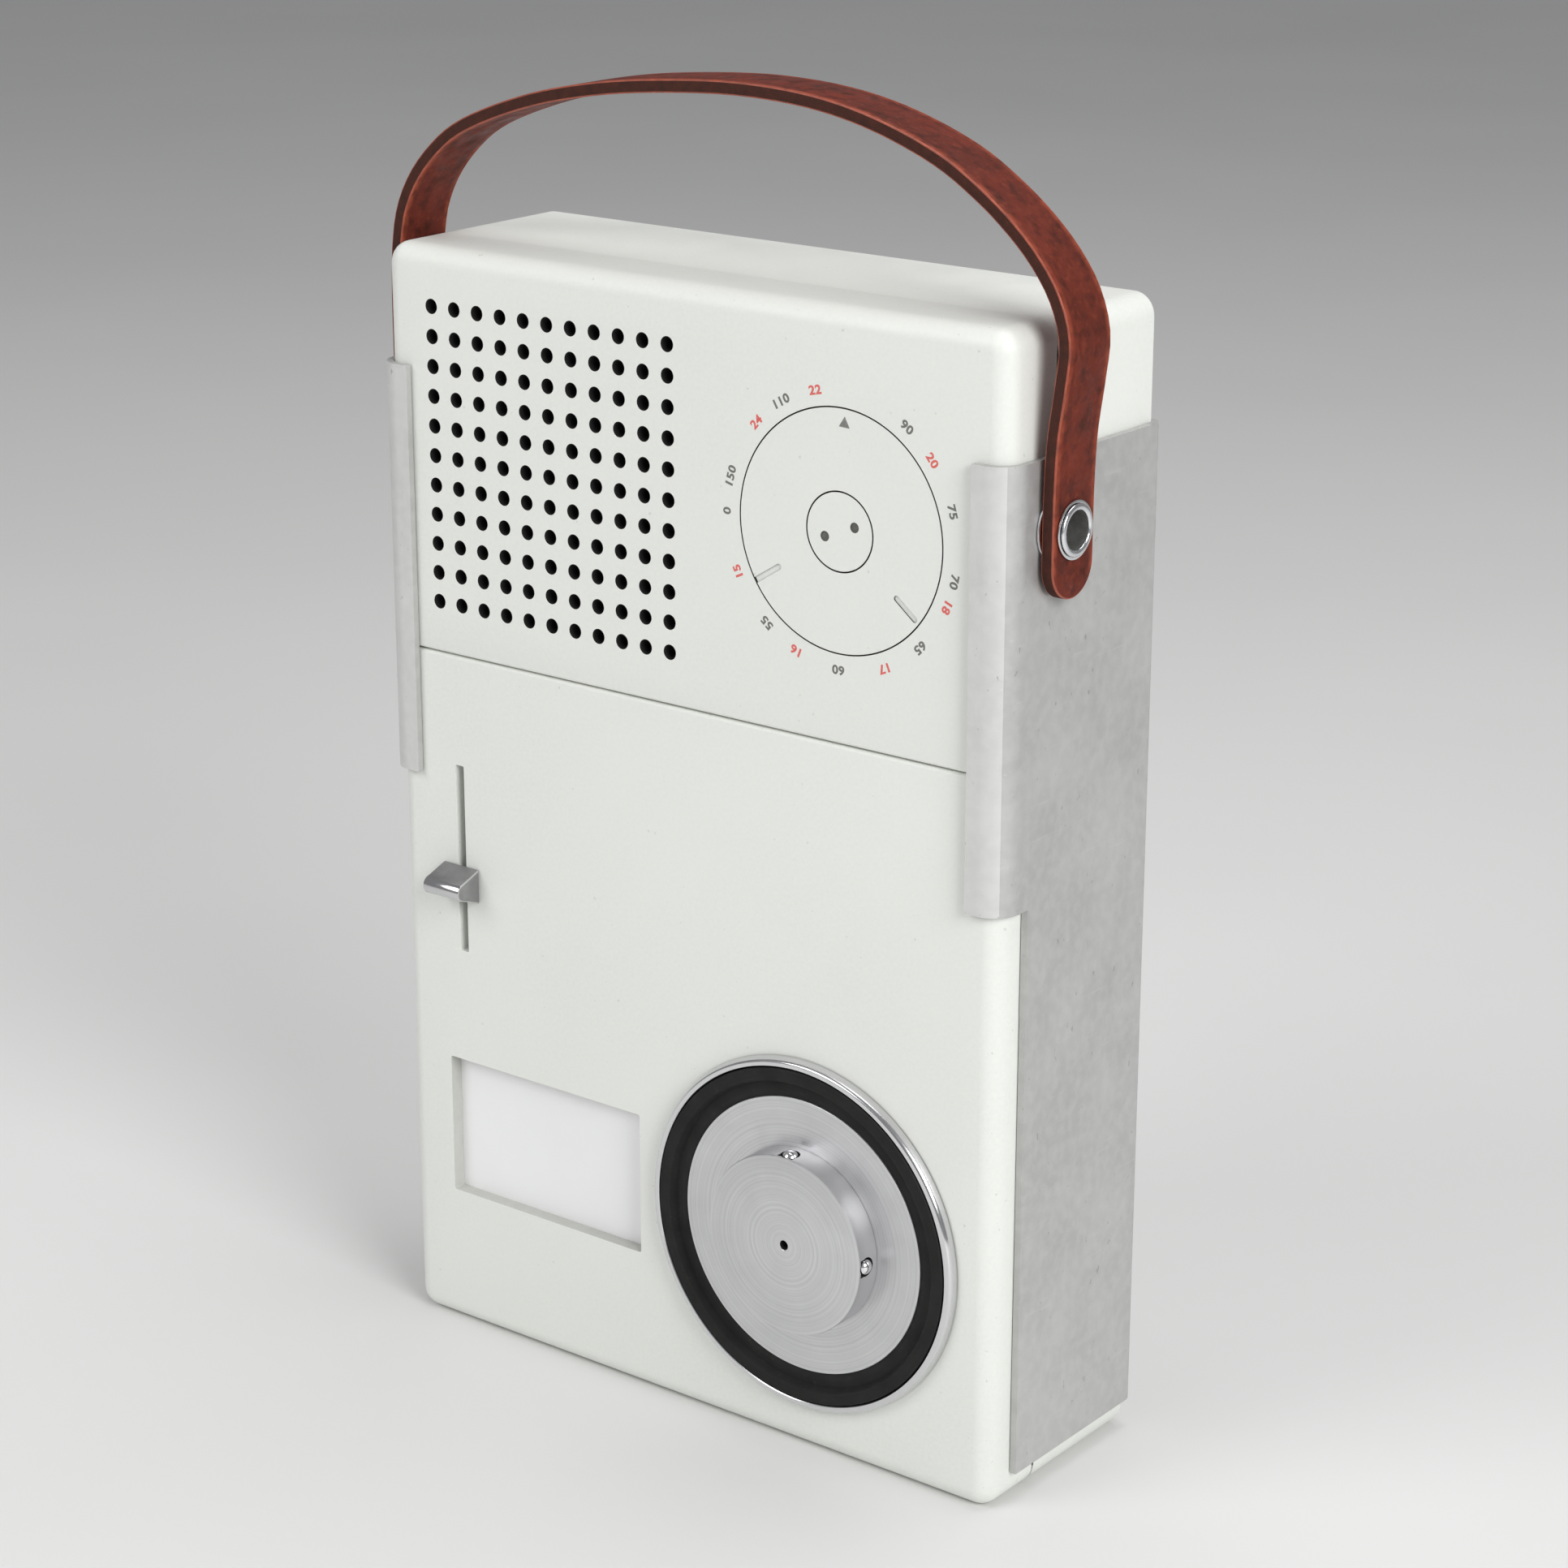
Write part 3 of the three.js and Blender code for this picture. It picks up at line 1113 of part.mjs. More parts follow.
// The knob is a wedge that ends in a round nose; its flanks touch the nose along tangents.
const knobBack = FRONT - GAP;
const noseY = FRONT - SLIDE_REACH + SLIDE_NOSE;
const wedgeDepth = knobBack - noseY;
const wedgeHalf = SLIDE_HEIGHT / 2;
const noseTurn = Math.acos(SLIDE_NOSE / Math.hypot(wedgeDepth, wedgeHalf));
const tangent = Math.atan2(wedgeHalf, wedgeDepth) + noseTurn;
const knobShape = new THREE.Shape();
knobShape.moveTo(knobBack, -wedgeHalf);
knobShape.lineTo(knobBack, wedgeHalf);
knobShape.absarc(noseY, 0, SLIDE_NOSE, tangent, 2 * Math.PI - tangent, false);
const knobWedge = new THREE.ExtrudeGeometry(knobShape, {
  depth: SLIDE_WIDTH,
  bevelEnabled: false,
  curveSegments: 12,
})
  .rotateX(Math.PI / 2)
  .rotateZ(Math.PI / 2)
  .translate(SLOT_X - SLIDE_WIDTH / 2, 0, SLIDE_Z);
const stemPocket = box(
  SLOT_X - stemHalf - GAP,
  SLOT_X + stemHalf + GAP,
  FRONT - STEM_REACH - GAP,
  FRONT,
  SLIDE_Z - STEM_HALF_HEIGHT - GAP,
  SLIDE_Z + STEM_HALF_HEIGHT + GAP,
);
place(slide, "slide_knob", cut(solid(knobWedge), stemPocket), CHROME);

export default group;
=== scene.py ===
import math

import bmesh
import bpy
import numpy as np
from mathutils import Matrix, Vector


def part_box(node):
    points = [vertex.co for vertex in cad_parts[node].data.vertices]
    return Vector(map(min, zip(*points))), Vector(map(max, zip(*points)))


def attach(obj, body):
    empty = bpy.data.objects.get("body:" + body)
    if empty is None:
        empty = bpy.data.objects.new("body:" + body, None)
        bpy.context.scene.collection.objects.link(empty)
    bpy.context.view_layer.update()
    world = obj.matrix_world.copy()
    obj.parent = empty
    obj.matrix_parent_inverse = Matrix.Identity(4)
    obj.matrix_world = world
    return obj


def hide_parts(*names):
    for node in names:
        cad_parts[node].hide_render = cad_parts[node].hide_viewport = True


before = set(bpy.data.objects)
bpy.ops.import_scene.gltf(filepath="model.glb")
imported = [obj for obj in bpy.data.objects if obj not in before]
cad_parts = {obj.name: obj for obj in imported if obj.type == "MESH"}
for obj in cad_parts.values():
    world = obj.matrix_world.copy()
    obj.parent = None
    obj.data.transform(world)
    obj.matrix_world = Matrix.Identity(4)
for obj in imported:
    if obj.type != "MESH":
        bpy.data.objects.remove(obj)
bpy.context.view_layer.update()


# --- Camera ---
# A long lens stands to the right of the set and a little above it, so that the case's edges
# stay nearly parallel. It looks at the middle of the case, a hand's width above the record hub.
MM = 0.001
EYE = Vector((446.5, -565.3, 366.6)) * MM
AIM = Vector((6.95, 0.0, 130.85)) * MM

scene = bpy.context.scene
scene.view_settings.view_transform = "Standard"
lens = bpy.data.cameras.new("camera")
lens.lens = 86.15
lens.sensor_width = 36
camera = bpy.data.objects.new("camera", lens)
camera.location = EYE
camera.rotation_euler = (AIM - EYE).to_track_quat("-Z", "Y").to_euler()
scene.collection.objects.link(camera)
scene.camera = camera


# --- Table and light ---
# The set stands on a wide pale table. A big soft lamp on the left fills the front, a stronger one on
# the right lights the front and the carrier's side, and one overhead lights the top of the case.
TABLE_SPAN = 8.0
TABLE_DROP = 0.0001


def new_finish(name, colour, roughness, metal=0.0):
    """A material whose shader starts from one colour, roughness and metalness."""
    finish = bpy.data.materials.new(name)
    finish.use_nodes = True
    shader = finish.node_tree.nodes["Principled BSDF"]
    shader.inputs["Base Color"].default_value = (*colour, 1)
    shader.inputs["Roughness"].default_value = roughness
    shader.inputs["Metallic"].default_value = metal
    return finish


def shader_of(finish):
    return finish.node_tree.nodes["Principled BSDF"]


def clouds(finish, size, detail=3.0, stretch=(1, 1, 1), turn=(0, 0, 0), source="Object"):
    """Noise with patches of about the given size in metres; gives back its value."""
    nodes = finish.node_tree.nodes
    wire = finish.node_tree.links.new
    place = nodes.new("ShaderNodeTexCoord")
    mapping = nodes.new("ShaderNodeMapping")
    mapping.inputs["Scale"].default_value = stretch
    mapping.inputs["Rotation"].default_value = turn
    noise = nodes.new("ShaderNodeTexNoise")
    noise.inputs["Scale"].default_value = 1 / size
    noise.inputs["Detail"].default_value = detail
    wire(place.outputs[source], mapping.inputs["Vector"])
    wire(mapping.outputs["Vector"], noise.inputs["Vector"])
    return noise.outputs["Fac"]


def between(finish, value, low, high, start=0.3, stop=0.7):
    """Turns a pattern's range from start to stop into numbers from low to high."""
    spread = finish.node_tree.nodes.new("ShaderNodeMapRange")
    spread.inputs["From Min"].default_value = start
    spread.inputs["From Max"].default_value = stop
    spread.inputs["To Min"].default_value = low
    spread.inputs["To Max"].default_value = high
    finish.node_tree.links.new(value, spread.inputs["Value"])
    return spread.outputs["Result"]


def tint(finish, share, colour):
    """Mixes another colour over what the shader has, by a share from 0 to 1."""
    links = finish.node_tree.links
    base = shader_of(finish).inputs["Base Color"]
    mix = finish.node_tree.nodes.new("ShaderNodeMix")
    mix.data_type = "RGBA"
    under, over, result = mix.inputs[6], mix.inputs[7], mix.outputs[2]
    over.default_value = (*colour, 1)
    if base.is_linked:
        links.new(base.links[0].from_socket, under)
    else:
        under.default_value = base.default_value
    links.new(share, mix.inputs[0])
    links.new(result, base)


def patches(finish, size, share, colour, detail=3.0, start=0.3, stop=0.7, source="Object"):
    """Mixes another colour in, up to a share, in soft patches of about the given size."""
    pattern = clouds(finish, size, detail, source=source)
    tint(finish, between(finish, pattern, 0, share, start, stop), colour)


def uneven_gloss(finish, size, low, high, detail=3.0, source="Object"):
    """Lets the roughness wander from low to high in patches of about the given size."""
    pattern = clouds(finish, size, detail, source=source)
    roughness = between(finish, pattern, low, high)
    finish.node_tree.links.new(roughness, shader_of(finish).inputs["Roughness"])


def relief(finish, value, depth):
    """Raises the pattern by a depth in metres, over any relief that is there already."""
    links = finish.node_tree.links
    normal = shader_of(finish).inputs["Normal"]
    bump = finish.node_tree.nodes.new("ShaderNodeBump")
    bump.inputs["Distance"].default_value = depth
    if normal.is_linked:
        links.new(normal.links[0].from_socket, bump.inputs["Normal"])
    links.new(value, bump.inputs["Height"])
    links.new(bump.outputs["Normal"], normal)


def grain(finish, size, depth, detail=3.0, source="Object"):
    """Raises grains of about the given size by a depth in metres."""
    relief(finish, clouds(finish, size, detail, source=source), depth)


def piece_from(bm, name, *finishes, smooth_below=35):
    """A finished mesh object from a bmesh, shaded smooth below an angle in degrees."""
    mesh = bpy.data.meshes.new(name)
    bm.to_mesh(mesh)
    bm.free()
    piece = bpy.data.objects.new(name, mesh)
    scene.collection.objects.link(piece)
    for finish in finishes:
        mesh.materials.append(finish)
    mesh.shade_smooth()
    mesh.set_sharp_from_angle(angle=math.radians(smooth_below))
    return piece


table_top = new_finish("pale_table", (0.80, 0.80, 0.79), 0.6)
patches(table_top, 0.25, 0.5, (0.74, 0.74, 0.73))
table_mesh = bmesh.new()
bmesh.ops.create_grid(table_mesh, x_segments=1, y_segments=1, size=TABLE_SPAN / 2)
bmesh.ops.translate(table_mesh, verts=table_mesh.verts, vec=(0, 0, -TABLE_DROP))
table = piece_from(table_mesh, "table", table_top)

for name, place, size, watts in (
    ("left_lamp", (-0.55, -1.05, 0.95), 0.9, 6.4),
    ("right_lamp", (1.3, -0.5, 0.85), 0.8, 14.5),
    ("top_lamp", (0.1, 0.25, 1.35), 1.0, 7.0),
):
    lamp = bpy.data.lights.new(name, "AREA")
    lamp.shape = "DISK"
    lamp.size = size
    lamp.energy = watts
    holder = bpy.data.objects.new(name, lamp)
    holder.location = place
    holder.rotation_euler = (AIM - Vector(place)).to_track_quat("-Z", "Y").to_euler()
    scene.collection.objects.link(holder)

room = bpy.data.worlds.new("room")
room.use_nodes = True
room.node_tree.nodes["Background"].inputs["Color"].default_value = (0.98, 0.985, 1.0, 1)
room.node_tree.nodes["Background"].inputs["Strength"].default_value = 0.27
scene.world = room


# --- Case mouldings ---
# Each unit is a front and a back moulding in off-white plastic with a fine matt grain, screwed together
# through bosses. The front edges are well rounded, and the radio's front has a field of sound holes.
CORNER_ROUND = 4.5 * MM
FRONT_ROUND = 4.0 * MM
BACK_ROUND = 0.8 * MM
JOINT_ROUND = 0.7 * MM
FRONT_WALL = 3.0 * MM
WALL = 2.5 * MM
BOSS_RADIUS = 4.0 * MM
BOSS_IN_X = 6.25 * MM
BOSS_IN_Z = 7.5 * MM
BOSS_ROOT = 0.5 * MM
SCREW_START = 8.0 * MM
SCREW_BORE = 2.9 * MM
SHAFT_BORE = 1.7 * MM
SCREW_SEAT = 17.5 * MM
HOLE_COUNT = 11
HOLE_PITCH = 6.09 * MM
HOLE_RADIUS = 1.55 * MM
HOLE_IN_X = 12.75 * MM
HOLE_IN_Z = 11.9 * MM
WINDOW_LEFT, WINDOW_RIGHT = -64.1 * MM, -11.9 * MM
WINDOW_BOTTOM, WINDOW_TOP = 31.0 * MM, 61.9 * MM
WINDOW_CORNER = 0.5 * MM
SLOT_X = -59.35 * MM
SLOT_WIDTH = 2.3 * MM
SLOT_BOTTOM, SLOT_TOP = 86.7 * MM, 127.7 * MM
SLOT_CORNER = 0.3 * MM
OVERCUT = 1.0 * MM
EDGE_SOFTNESS = 0.14 * MM
FINE_EDGE = 0.08 * MM
NEAR = 0.1 * MM

player_low, seam_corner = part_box("player_front_shell")
radio_low, radio_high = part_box("radio_front_shell")
back_low, back_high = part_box("player_back_shell")
FRONT = player_low.y
SEAM = seam_corner.y
BACK = back_high.y
HALF = back_high.x
PLAYER_TOP = seam_corner.z
RADIO_BOTTOM = radio_low.z
CASE_TOP = radio_high.z
BACK_SEAM = back_low.y
INNER_FRONT = FRONT + FRONT_WALL
INNER_BACK = BACK - WALL

plate_low, plate_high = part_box("carrier_sheet")
dial_low, dial_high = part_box("tuning_dial")
DIAL_X = (dial_low.x + dial_high.x) / 2
DIAL_Z = (dial_low.z + dial_high.z) / 2
DIAL_RADIUS = (dial_high.x - dial_low.x) / 2
DIAL_GAP = 0.28 * MM
platter_low, platter_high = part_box("platter")
PLATTER_X = (platter_low.x + platter_high.x) / 2
PLATTER_Z = (platter_low.z + platter_high.z) / 2
PLATTER_RADIUS = (platter_high.x - platter_low.x) / 2
PLATTER_OVERHANG = 2.6 * MM

case_plastic = new_finish("case_plastic", (0.83, 0.845, 0.80), 0.5)
patches(case_plastic, 0.045, 0.6, (0.78, 0.80, 0.755))
patches(case_plastic, 0.0008, 0.5, (0.86, 0.87, 0.83), detail=1)
patches(case_plastic, 0.0016, 0.35, (0.45, 0.44, 0.40), detail=1, start=0.74, stop=0.80)
uneven_gloss(case_plastic, 0.012, 0.42, 0.55)
grain(case_plastic, 0.0005, 0.012 * MM, detail=2)
shadow_black = new_finish("shadow_black", (0.008, 0.008, 0.008), 0.9)
patches(shadow_black, 0.001, 0.6, (0.016, 0.016, 0.015))
# Painted shade: a near-black grey for the walls of narrow gaps and grooves, standing in for the shade inside
# them.
painted_gap_shade = new_finish("painted_gap_shade", (0.055, 0.055, 0.052), 0.85)
patches(painted_gap_shade, 0.002, 0.6, (0.03, 0.03, 0.028))
# Painted shade: the case plastic in a darker grey for the window's walls, standing in for the shade that
# falls in the opening.
window_wall_shade = new_finish("window_wall_shade", (0.56, 0.565, 0.53), 0.6)
patches(window_wall_shade, 0.002, 0.6, (0.50, 0.505, 0.475))
grain(window_wall_shade, 0.0005, 0.012 * MM, detail=2)


def cuboid(low, high):
    """A closed box between two corners, as a bmesh."""
    bm = bmesh.new()
    low, high = Vector(low), Vector(high)
    place = Matrix.Translation((low + high) / 2) @ Matrix.Diagonal((*(high - low), 1))
    bmesh.ops.create_cube(bm, size=1, matrix=place)
    return bm


def round_off(bm, edges, radius, steps):
    bmesh.ops.bevel(
        bm,
        geom=edges,
        offset=radius,
        offset_type="OFFSET",
        segments=steps,
        profile=0.5,
        affect="EDGES",
        material=-1,
    )


def edges_along(bm, axis):
    """Straight edges that run along x, y or z (0, 1 or 2)."""
    found = []
    for edge in bm.edges:
        run = edge.verts[1].co - edge.verts[0].co
        if abs(run[axis]) > 0.999 * run.length:
            found.append(edge)
    return found


def lies_at(edge, axis, level):
    """Whether both ends of an edge lie at one level of x, y or z."""
    return all(abs(vert.co[axis] - level) < 1e-6 for vert in edge.verts)


def edges_at(bm, axis, level):
    return [edge for edge in bm.edges if lies_at(edge, axis, level)]


def sharp_edges(edges, degrees):
    """Those edges whose two faces meet at more than an angle."""
    return [e for e in edges if e.is_manifold and e.calc_face_angle() > math.radians(degrees)]


def cut_across(bm, point, away, **settings):
    everything = bm.verts[:] + bm.edges[:] + bm.faces[:]
    return bmesh.ops.bisect_plane(bm, geom=everything, plane_co=point, plane_no=away, **settings)


def rod(bm, radius, start, stop, steps):
    """Adds a closed rod between two points."""
    start, stop = Vector(start), Vector(stop)
    run = stop - start
    place = Matrix.Translation((start + stop) / 2) @ run.to_track_quat("Z", "Y").to_matrix().to_4x4()
    bmesh.ops.create_cone(
        bm,
        cap_ends=True,
        segments=steps,
        radius1=radius,
        radius2=radius,
        depth=run.length,
        matrix=place,
    )


def rod_through(bm, radius, x, z, y0, y1, steps):
    rod(bm, radius, (x, y0, z), (x, y1, z), steps)


def combine(piece, tool_mesh, operation):
    """Joins a tool to a piece or carves it out, then drops the tool."""
    tool = piece_from(tool_mesh, "tool")
    change = piece.modifiers.new("combine", "BOOLEAN")
    change.operation = operation
    change.solver = "EXACT"
    change.object = tool
    shaped = piece.evaluated_get(bpy.context.evaluated_depsgraph_get())
    piece_mesh = bpy.data.meshes.new_from_object(shaped)
    piece.modifiers.clear()
    piece.data = piece_mesh
    bpy.data.objects.remove(tool)


def soften(piece, width, steps=2, sharper_than=40):
    """Finishes a piece with small rounded edges, and keeps its flat faces flat."""
    piece.data.shade_smooth()
    piece.data.set_sharp_from_angle(angle=math.radians(sharper_than))
    edge = piece.modifiers.new("soft_edges", "BEVEL")
    edge.width = width
    edge.segments = steps
    edge.limit_method = "ANGLE"
    edge.angle_limit = math.radians(sharper_than)
    edge.harden_normals = True
    edge.use_clamp_overlap = True


def paint(piece, finish, chosen):
    """Gives its own finish to every face whose middle and normal are chosen."""
    if piece.data.materials.find(finish.name) < 0:
        piece.data.materials.append(finish)
    index = piece.data.materials.find(finish.name)
    for face in piece.data.polygons:
        if chosen(face.center, face.normal):
            face.material_index = index


def from_middle(spot, x, z):
    """How far a place is from an axis square to the front."""
    return math.hypot(spot.x - x, spot.z - z)


def paint_bores(piece, finish, bores):
    """Paints the walls of round openings; bores lists x, z and radius."""

    def on_bore(spot, normal):
        reaches = (abs(from_middle(spot, x, z) - radius) for x, z, radius in bores)
        return abs(normal.y) < 0.5 and min(reaches) < NEAR

    paint(piece, finish, on_bore)


def fit(piece, body, slot, *stands_for):
    """Puts a finished piece on its body, in the place of the plain solids that it stands for."""
    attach(piece, body)
    if stands_for:
        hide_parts(*stands_for)


def case_moulding(name, bottom, top, y0, y1, hollow):
    """One moulding: the rounded case block cut to its unit and half, then hollowed."""
    block = cuboid((-HALF, FRONT, 0), (HALF, BACK, CASE_TOP))
    round_off(block, edges_along(block, 1), CORNER_ROUND, 8)
    round_off(block, edges_at(block, 1, FRONT), FRONT_ROUND, 8)
    round_off(block, edges_at(block, 1, BACK), BACK_ROUND, 3)
    for point, away in (
        ((0, 0, bottom), (0, 0, -1)),
        ((0, 0, top), (0, 0, 1)),
        ((0, y0, 0), (0, -1, 0)),
        ((0, y1, 0), (0, 1, 0)),
    ):
        cut = cut_across(block, point, away, clear_outer=True)
        rim = [part for part in cut["geom_cut"] if isinstance(part, bmesh.types.BMEdge)]
        rim = [edge for edge in rim if edge.is_boundary]
        if rim:
            bmesh.ops.edgeloop_fill(block, edges=rim)
    bmesh.ops.recalc_face_normals(block, faces=block.faces)
    is_front = y1 == SEAM
    seam_y = y1 if is_front else y0
    for level in (bottom, top):
        if 0 < level < CASE_TOP:
            rim = [e for e in sharp_edges(edges_at(block, 2, level), 60) if not lies_at(e, 1, seam_y)]
            round_off(block, rim, JOINT_ROUND, 4)
    if is_front and top == CASE_TOP:
        near_top = CASE_TOP - 2 * CORNER_ROUND
        rim = sharp_edges(edges_at(block, 1, SEAM), 60)
        rim = [edge for edge in rim if all(vert.co.z > near_top for vert in edge.verts)]
        round_off(block, rim, JOINT_ROUND, 4)
    moulding = piece_from(block, name, case_plastic)
    inside = HALF - WALL
    combine(
        moulding,
        cuboid((-inside, hollow[0], bottom + WALL), (inside, hollow[1], top - WALL)),
        "DIFFERENCE",
    )
    return moulding


def add_bosses(moulding, places, y0, y1, bores):
    """Joins screw bosses to a moulding and drills them; bores lists radius, start and stop."""
    bosses = bmesh.new()
    for x, z in places:
        rod_through(bosses, BOSS_RADIUS, x, z, y0, y1, 32)
    combine(moulding, bosses, "UNION")
    for radius, start, stop in bores:
        drill = bmesh.new()
        for x, z in places:
            rod_through(drill, radius, x, z, start, stop, 32)
        combine(moulding, drill, "DIFFERENCE")


boss_x = HALF - BOSS_IN_X
radio_bosses = [(-boss_x, RADIO_BOTTOM + BOSS_IN_Z), (boss_x, CASE_TOP - BOSS_IN_Z)]
player_bosses = [(boss_x, BOSS_IN_Z), (-boss_x, PLAYER_TOP - BOSS_IN_Z)]
screw_seat = BACK - SCREW_SEAT
wall_from, wall_to = FRONT - OVERCUT, INNER_FRONT + OVERCUT


def front_moulding(name, bottom, top, bosses):
    moulding = case_moulding(name, bottom, top, FRONT - OVERCUT, SEAM, (INNER_FRONT, BACK))
    bores = [(SHAFT_BORE, FRONT + SCREW_START, BACK)]
    add_bosses(moulding, bosses, INNER_FRONT - BOSS_ROOT, SEAM, bores)
    return moulding


radio_front = front_moulding("radio_front_moulding", RADIO_BOTTOM, CASE_TOP, radio_bosses)
openings = bmesh.new()
sound_holes = []
for row in range(HOLE_COUNT):
    for column in range(HOLE_COUNT):
        hole_x = -HALF + HOLE_IN_X + column * HOLE_PITCH
        hole_z = CASE_TOP - HOLE_IN_Z - row * HOLE_PITCH
        rod_through(openings, HOLE_RADIUS, hole_x, hole_z, wall_from, wall_to, 24)
        sound_holes.append((hole_x, hole_z, HOLE_RADIUS))
rod_through(openings, DIAL_RADIUS + DIAL_GAP, DIAL_X, DIAL_Z, wall_from, wall_to, 128)
combine(radio_front, openings, "DIFFERENCE")
paint_bores(radio_front, shadow_black, sound_holes)
# The wall of the gap round the dial is painted dark grey, as painted shade.
paint_bores(radio_front, painted_gap_shade, [(DIAL_X, DIAL_Z, DIAL_RADIUS + DIAL_GAP)])
soften(radio_front, EDGE_SOFTNESS)
fit(radio_front, "case", "case_white", "radio_front_shell")

player_front = front_moulding("player_front_moulding", 0, PLAYER_TOP, player_bosses)
openings = cuboid((WINDOW_LEFT, wall_from, WINDOW_BOTTOM), (WINDOW_RIGHT, wall_to, WINDOW_TOP))
round_off(openings, edges_along(openings, 1), WINDOW_CORNER, 4)
slot_half = SLOT_WIDTH / 2
slot_tool = cuboid((SLOT_X - slot_half, wall_from, SLOT_BOTTOM), (SLOT_X + slot_half, wall_to, SLOT_TOP))
round_off(slot_tool, edges_along(slot_tool, 1), SLOT_CORNER, 3)
combine(player_front, openings, "DIFFERENCE")
combine(player_front, slot_tool, "DIFFERENCE")
openings = bmesh.new()
rod_through(openings, PLATTER_RADIUS - PLATTER_OVERHANG, PLATTER_X, PLATTER_Z, wall_from, wall_to, 128)
combine(player_front, openings, "DIFFERENCE")


def in_window(spot, normal):
    in_width = WINDOW_LEFT - NEAR < spot.x < WINDOW_RIGHT + NEAR
    in_height = WINDOW_BOTTOM - NEAR < spot.z < WINDOW_TOP + NEAR
    return in_width and in_height and spot.y < INNER_FRONT and abs(normal.y) < 0.5


# The window's walls get the darker grey, as painted shade.
paint(player_front, window_wall_shade, in_window)
soften(player_front, EDGE_SOFTNESS)
fit(player_front, "case", "case_white", "player_front_shell")

for name, bottom, top, bosses in (
    ("radio_back", RADIO_BOTTOM, CASE_TOP, radio_bosses),
    ("player_back", 0, PLAYER_TOP, player_bosses),
):
    moulding = case_moulding(name + "_moulding", bottom, top, BACK_SEAM, BACK + OVERCUT, (FRONT, INNER_BACK))
    seat_bores = [(SHAFT_BORE, FRONT, screw_seat + OVERCUT), (SCREW_BORE, screw_seat, BACK + OVERCUT)]
    add_bosses(moulding, bosses, BACK_SEAM, INNER_BACK + BOSS_ROOT, seat_bores)
    soften(moulding, EDGE_SOFTNESS)
    fit(moulding, "case", "case_white", name + "_shell")


# --- Printed numbers round the dial ---
# Frequencies are printed in grey and the short-wave bands in coral red, straight onto the radio's front.
# Every number's foot points at the middle of the dial.
NUMBER_RADIUS = 26.7 * MM
NUMBER_HEIGHT = 1.86 * MM
DIGIT_WIDTH = 1.42 * MM
INK_RISE = 0.02 * MM
STROKE_GAIN = 0.034
LETTER_SPACE = 1.06
grey_numbers = {
    "0": 180,
    "150": 165.2,
    "110": 121.2,
    "90": 55.3,
    "75": 16.8,
    "70": -11.4,
    "65": -45.6,
    "60": -90.3,
    "55": -130,
}
red_numbers = {
    "24": 137.3,
    "22": 102.6,
    "20": 38.4,
    "18": -22.6,
    "17": -66.3,
    "16": -112.1,
    "15": -154.4,
}


def number_mesh(text):
    """One number as a flat mesh, centred, upright in x and y."""
    letters = bpy.data.curves.new(text, "FONT")
    letters.body = text
    letters.align_x = "CENTER"
    letters.align_y = "CENTER"
    letters.offset = STROKE_GAIN
    letters.resolution_u = 4
    letters.space_character = LETTER_SPACE
    holder = bpy.data.objects.new(text, letters)
    scene.collection.objects.link(holder)
    shaped = holder.evaluated_get(bpy.context.evaluated_depsgraph_get())
    mesh = bpy.data.meshes.new_from_object(shaped)
    bpy.data.objects.remove(holder)
    return mesh


def drawn_size(mesh):
    corners = np.array([vert.co for vert in mesh.vertices])
    return corners.max(0) - corners.min(0)


def raise_faces(bm, faces, rise):
    """Thickens flat faces towards the front of the case."""
    grown = bmesh.ops.extrude_face_region(bm, geom=faces)
    tops = [part for part in grown["geom"] if isinstance(part, bmesh.types.BMVert)]
    bmesh.ops.translate(bm, verts=tops, vec=(0, -rise, 0))


def printed_numbers(name, numbers, ink):
    """All the numbers of one colour as one piece on the radio's front."""
    zero = drawn_size(number_mesh("0"))
    squeeze = Matrix.Diagonal((DIGIT_WIDTH / zero[0], NUMBER_HEIGHT / zero[1], 1, 1))
    upright = Matrix.Rotation(math.radians(90), 4, "X")
    onto_front = Matrix.Translation((DIAL_X, FRONT, DIAL_Z))
    whole = bmesh.new()
    for text, degrees in numbers.items():
        mesh = number_mesh(text)
        turn = Matrix.Rotation(math.radians(degrees - 90), 4, "Z")
        outward = Matrix.Translation((0, NUMBER_RADIUS, 0))
        mesh.transform(onto_front @ upright @ turn @ outward @ squeeze)
        whole.from_mesh(mesh)
    raise_faces(whole, whole.faces[:], INK_RISE)
    bmesh.ops.recalc_face_normals(whole, faces=whole.faces)
    piece = piece_from(whole, name, ink, smooth_below=20)
    fit(piece, "case", "case_white")


def printing_ink(name, colour, worn):
    ink = new_finish(name, colour, 0.5)
    patches(ink, 0.0007, 0.6, worn, detail=2, start=0.4, stop=0.75)
    return ink


grey_ink = printing_ink("grey_ink", (0.165, 0.165, 0.15), (0.23, 0.23, 0.21))
red_ink = printing_ink("coral_ink", (0.74, 0.13, 0.115), (0.80, 0.21, 0.19))
printed_numbers("printed_frequencies", grey_numbers, grey_ink)
printed_numbers("printed_bands", red_numbers, red_ink)


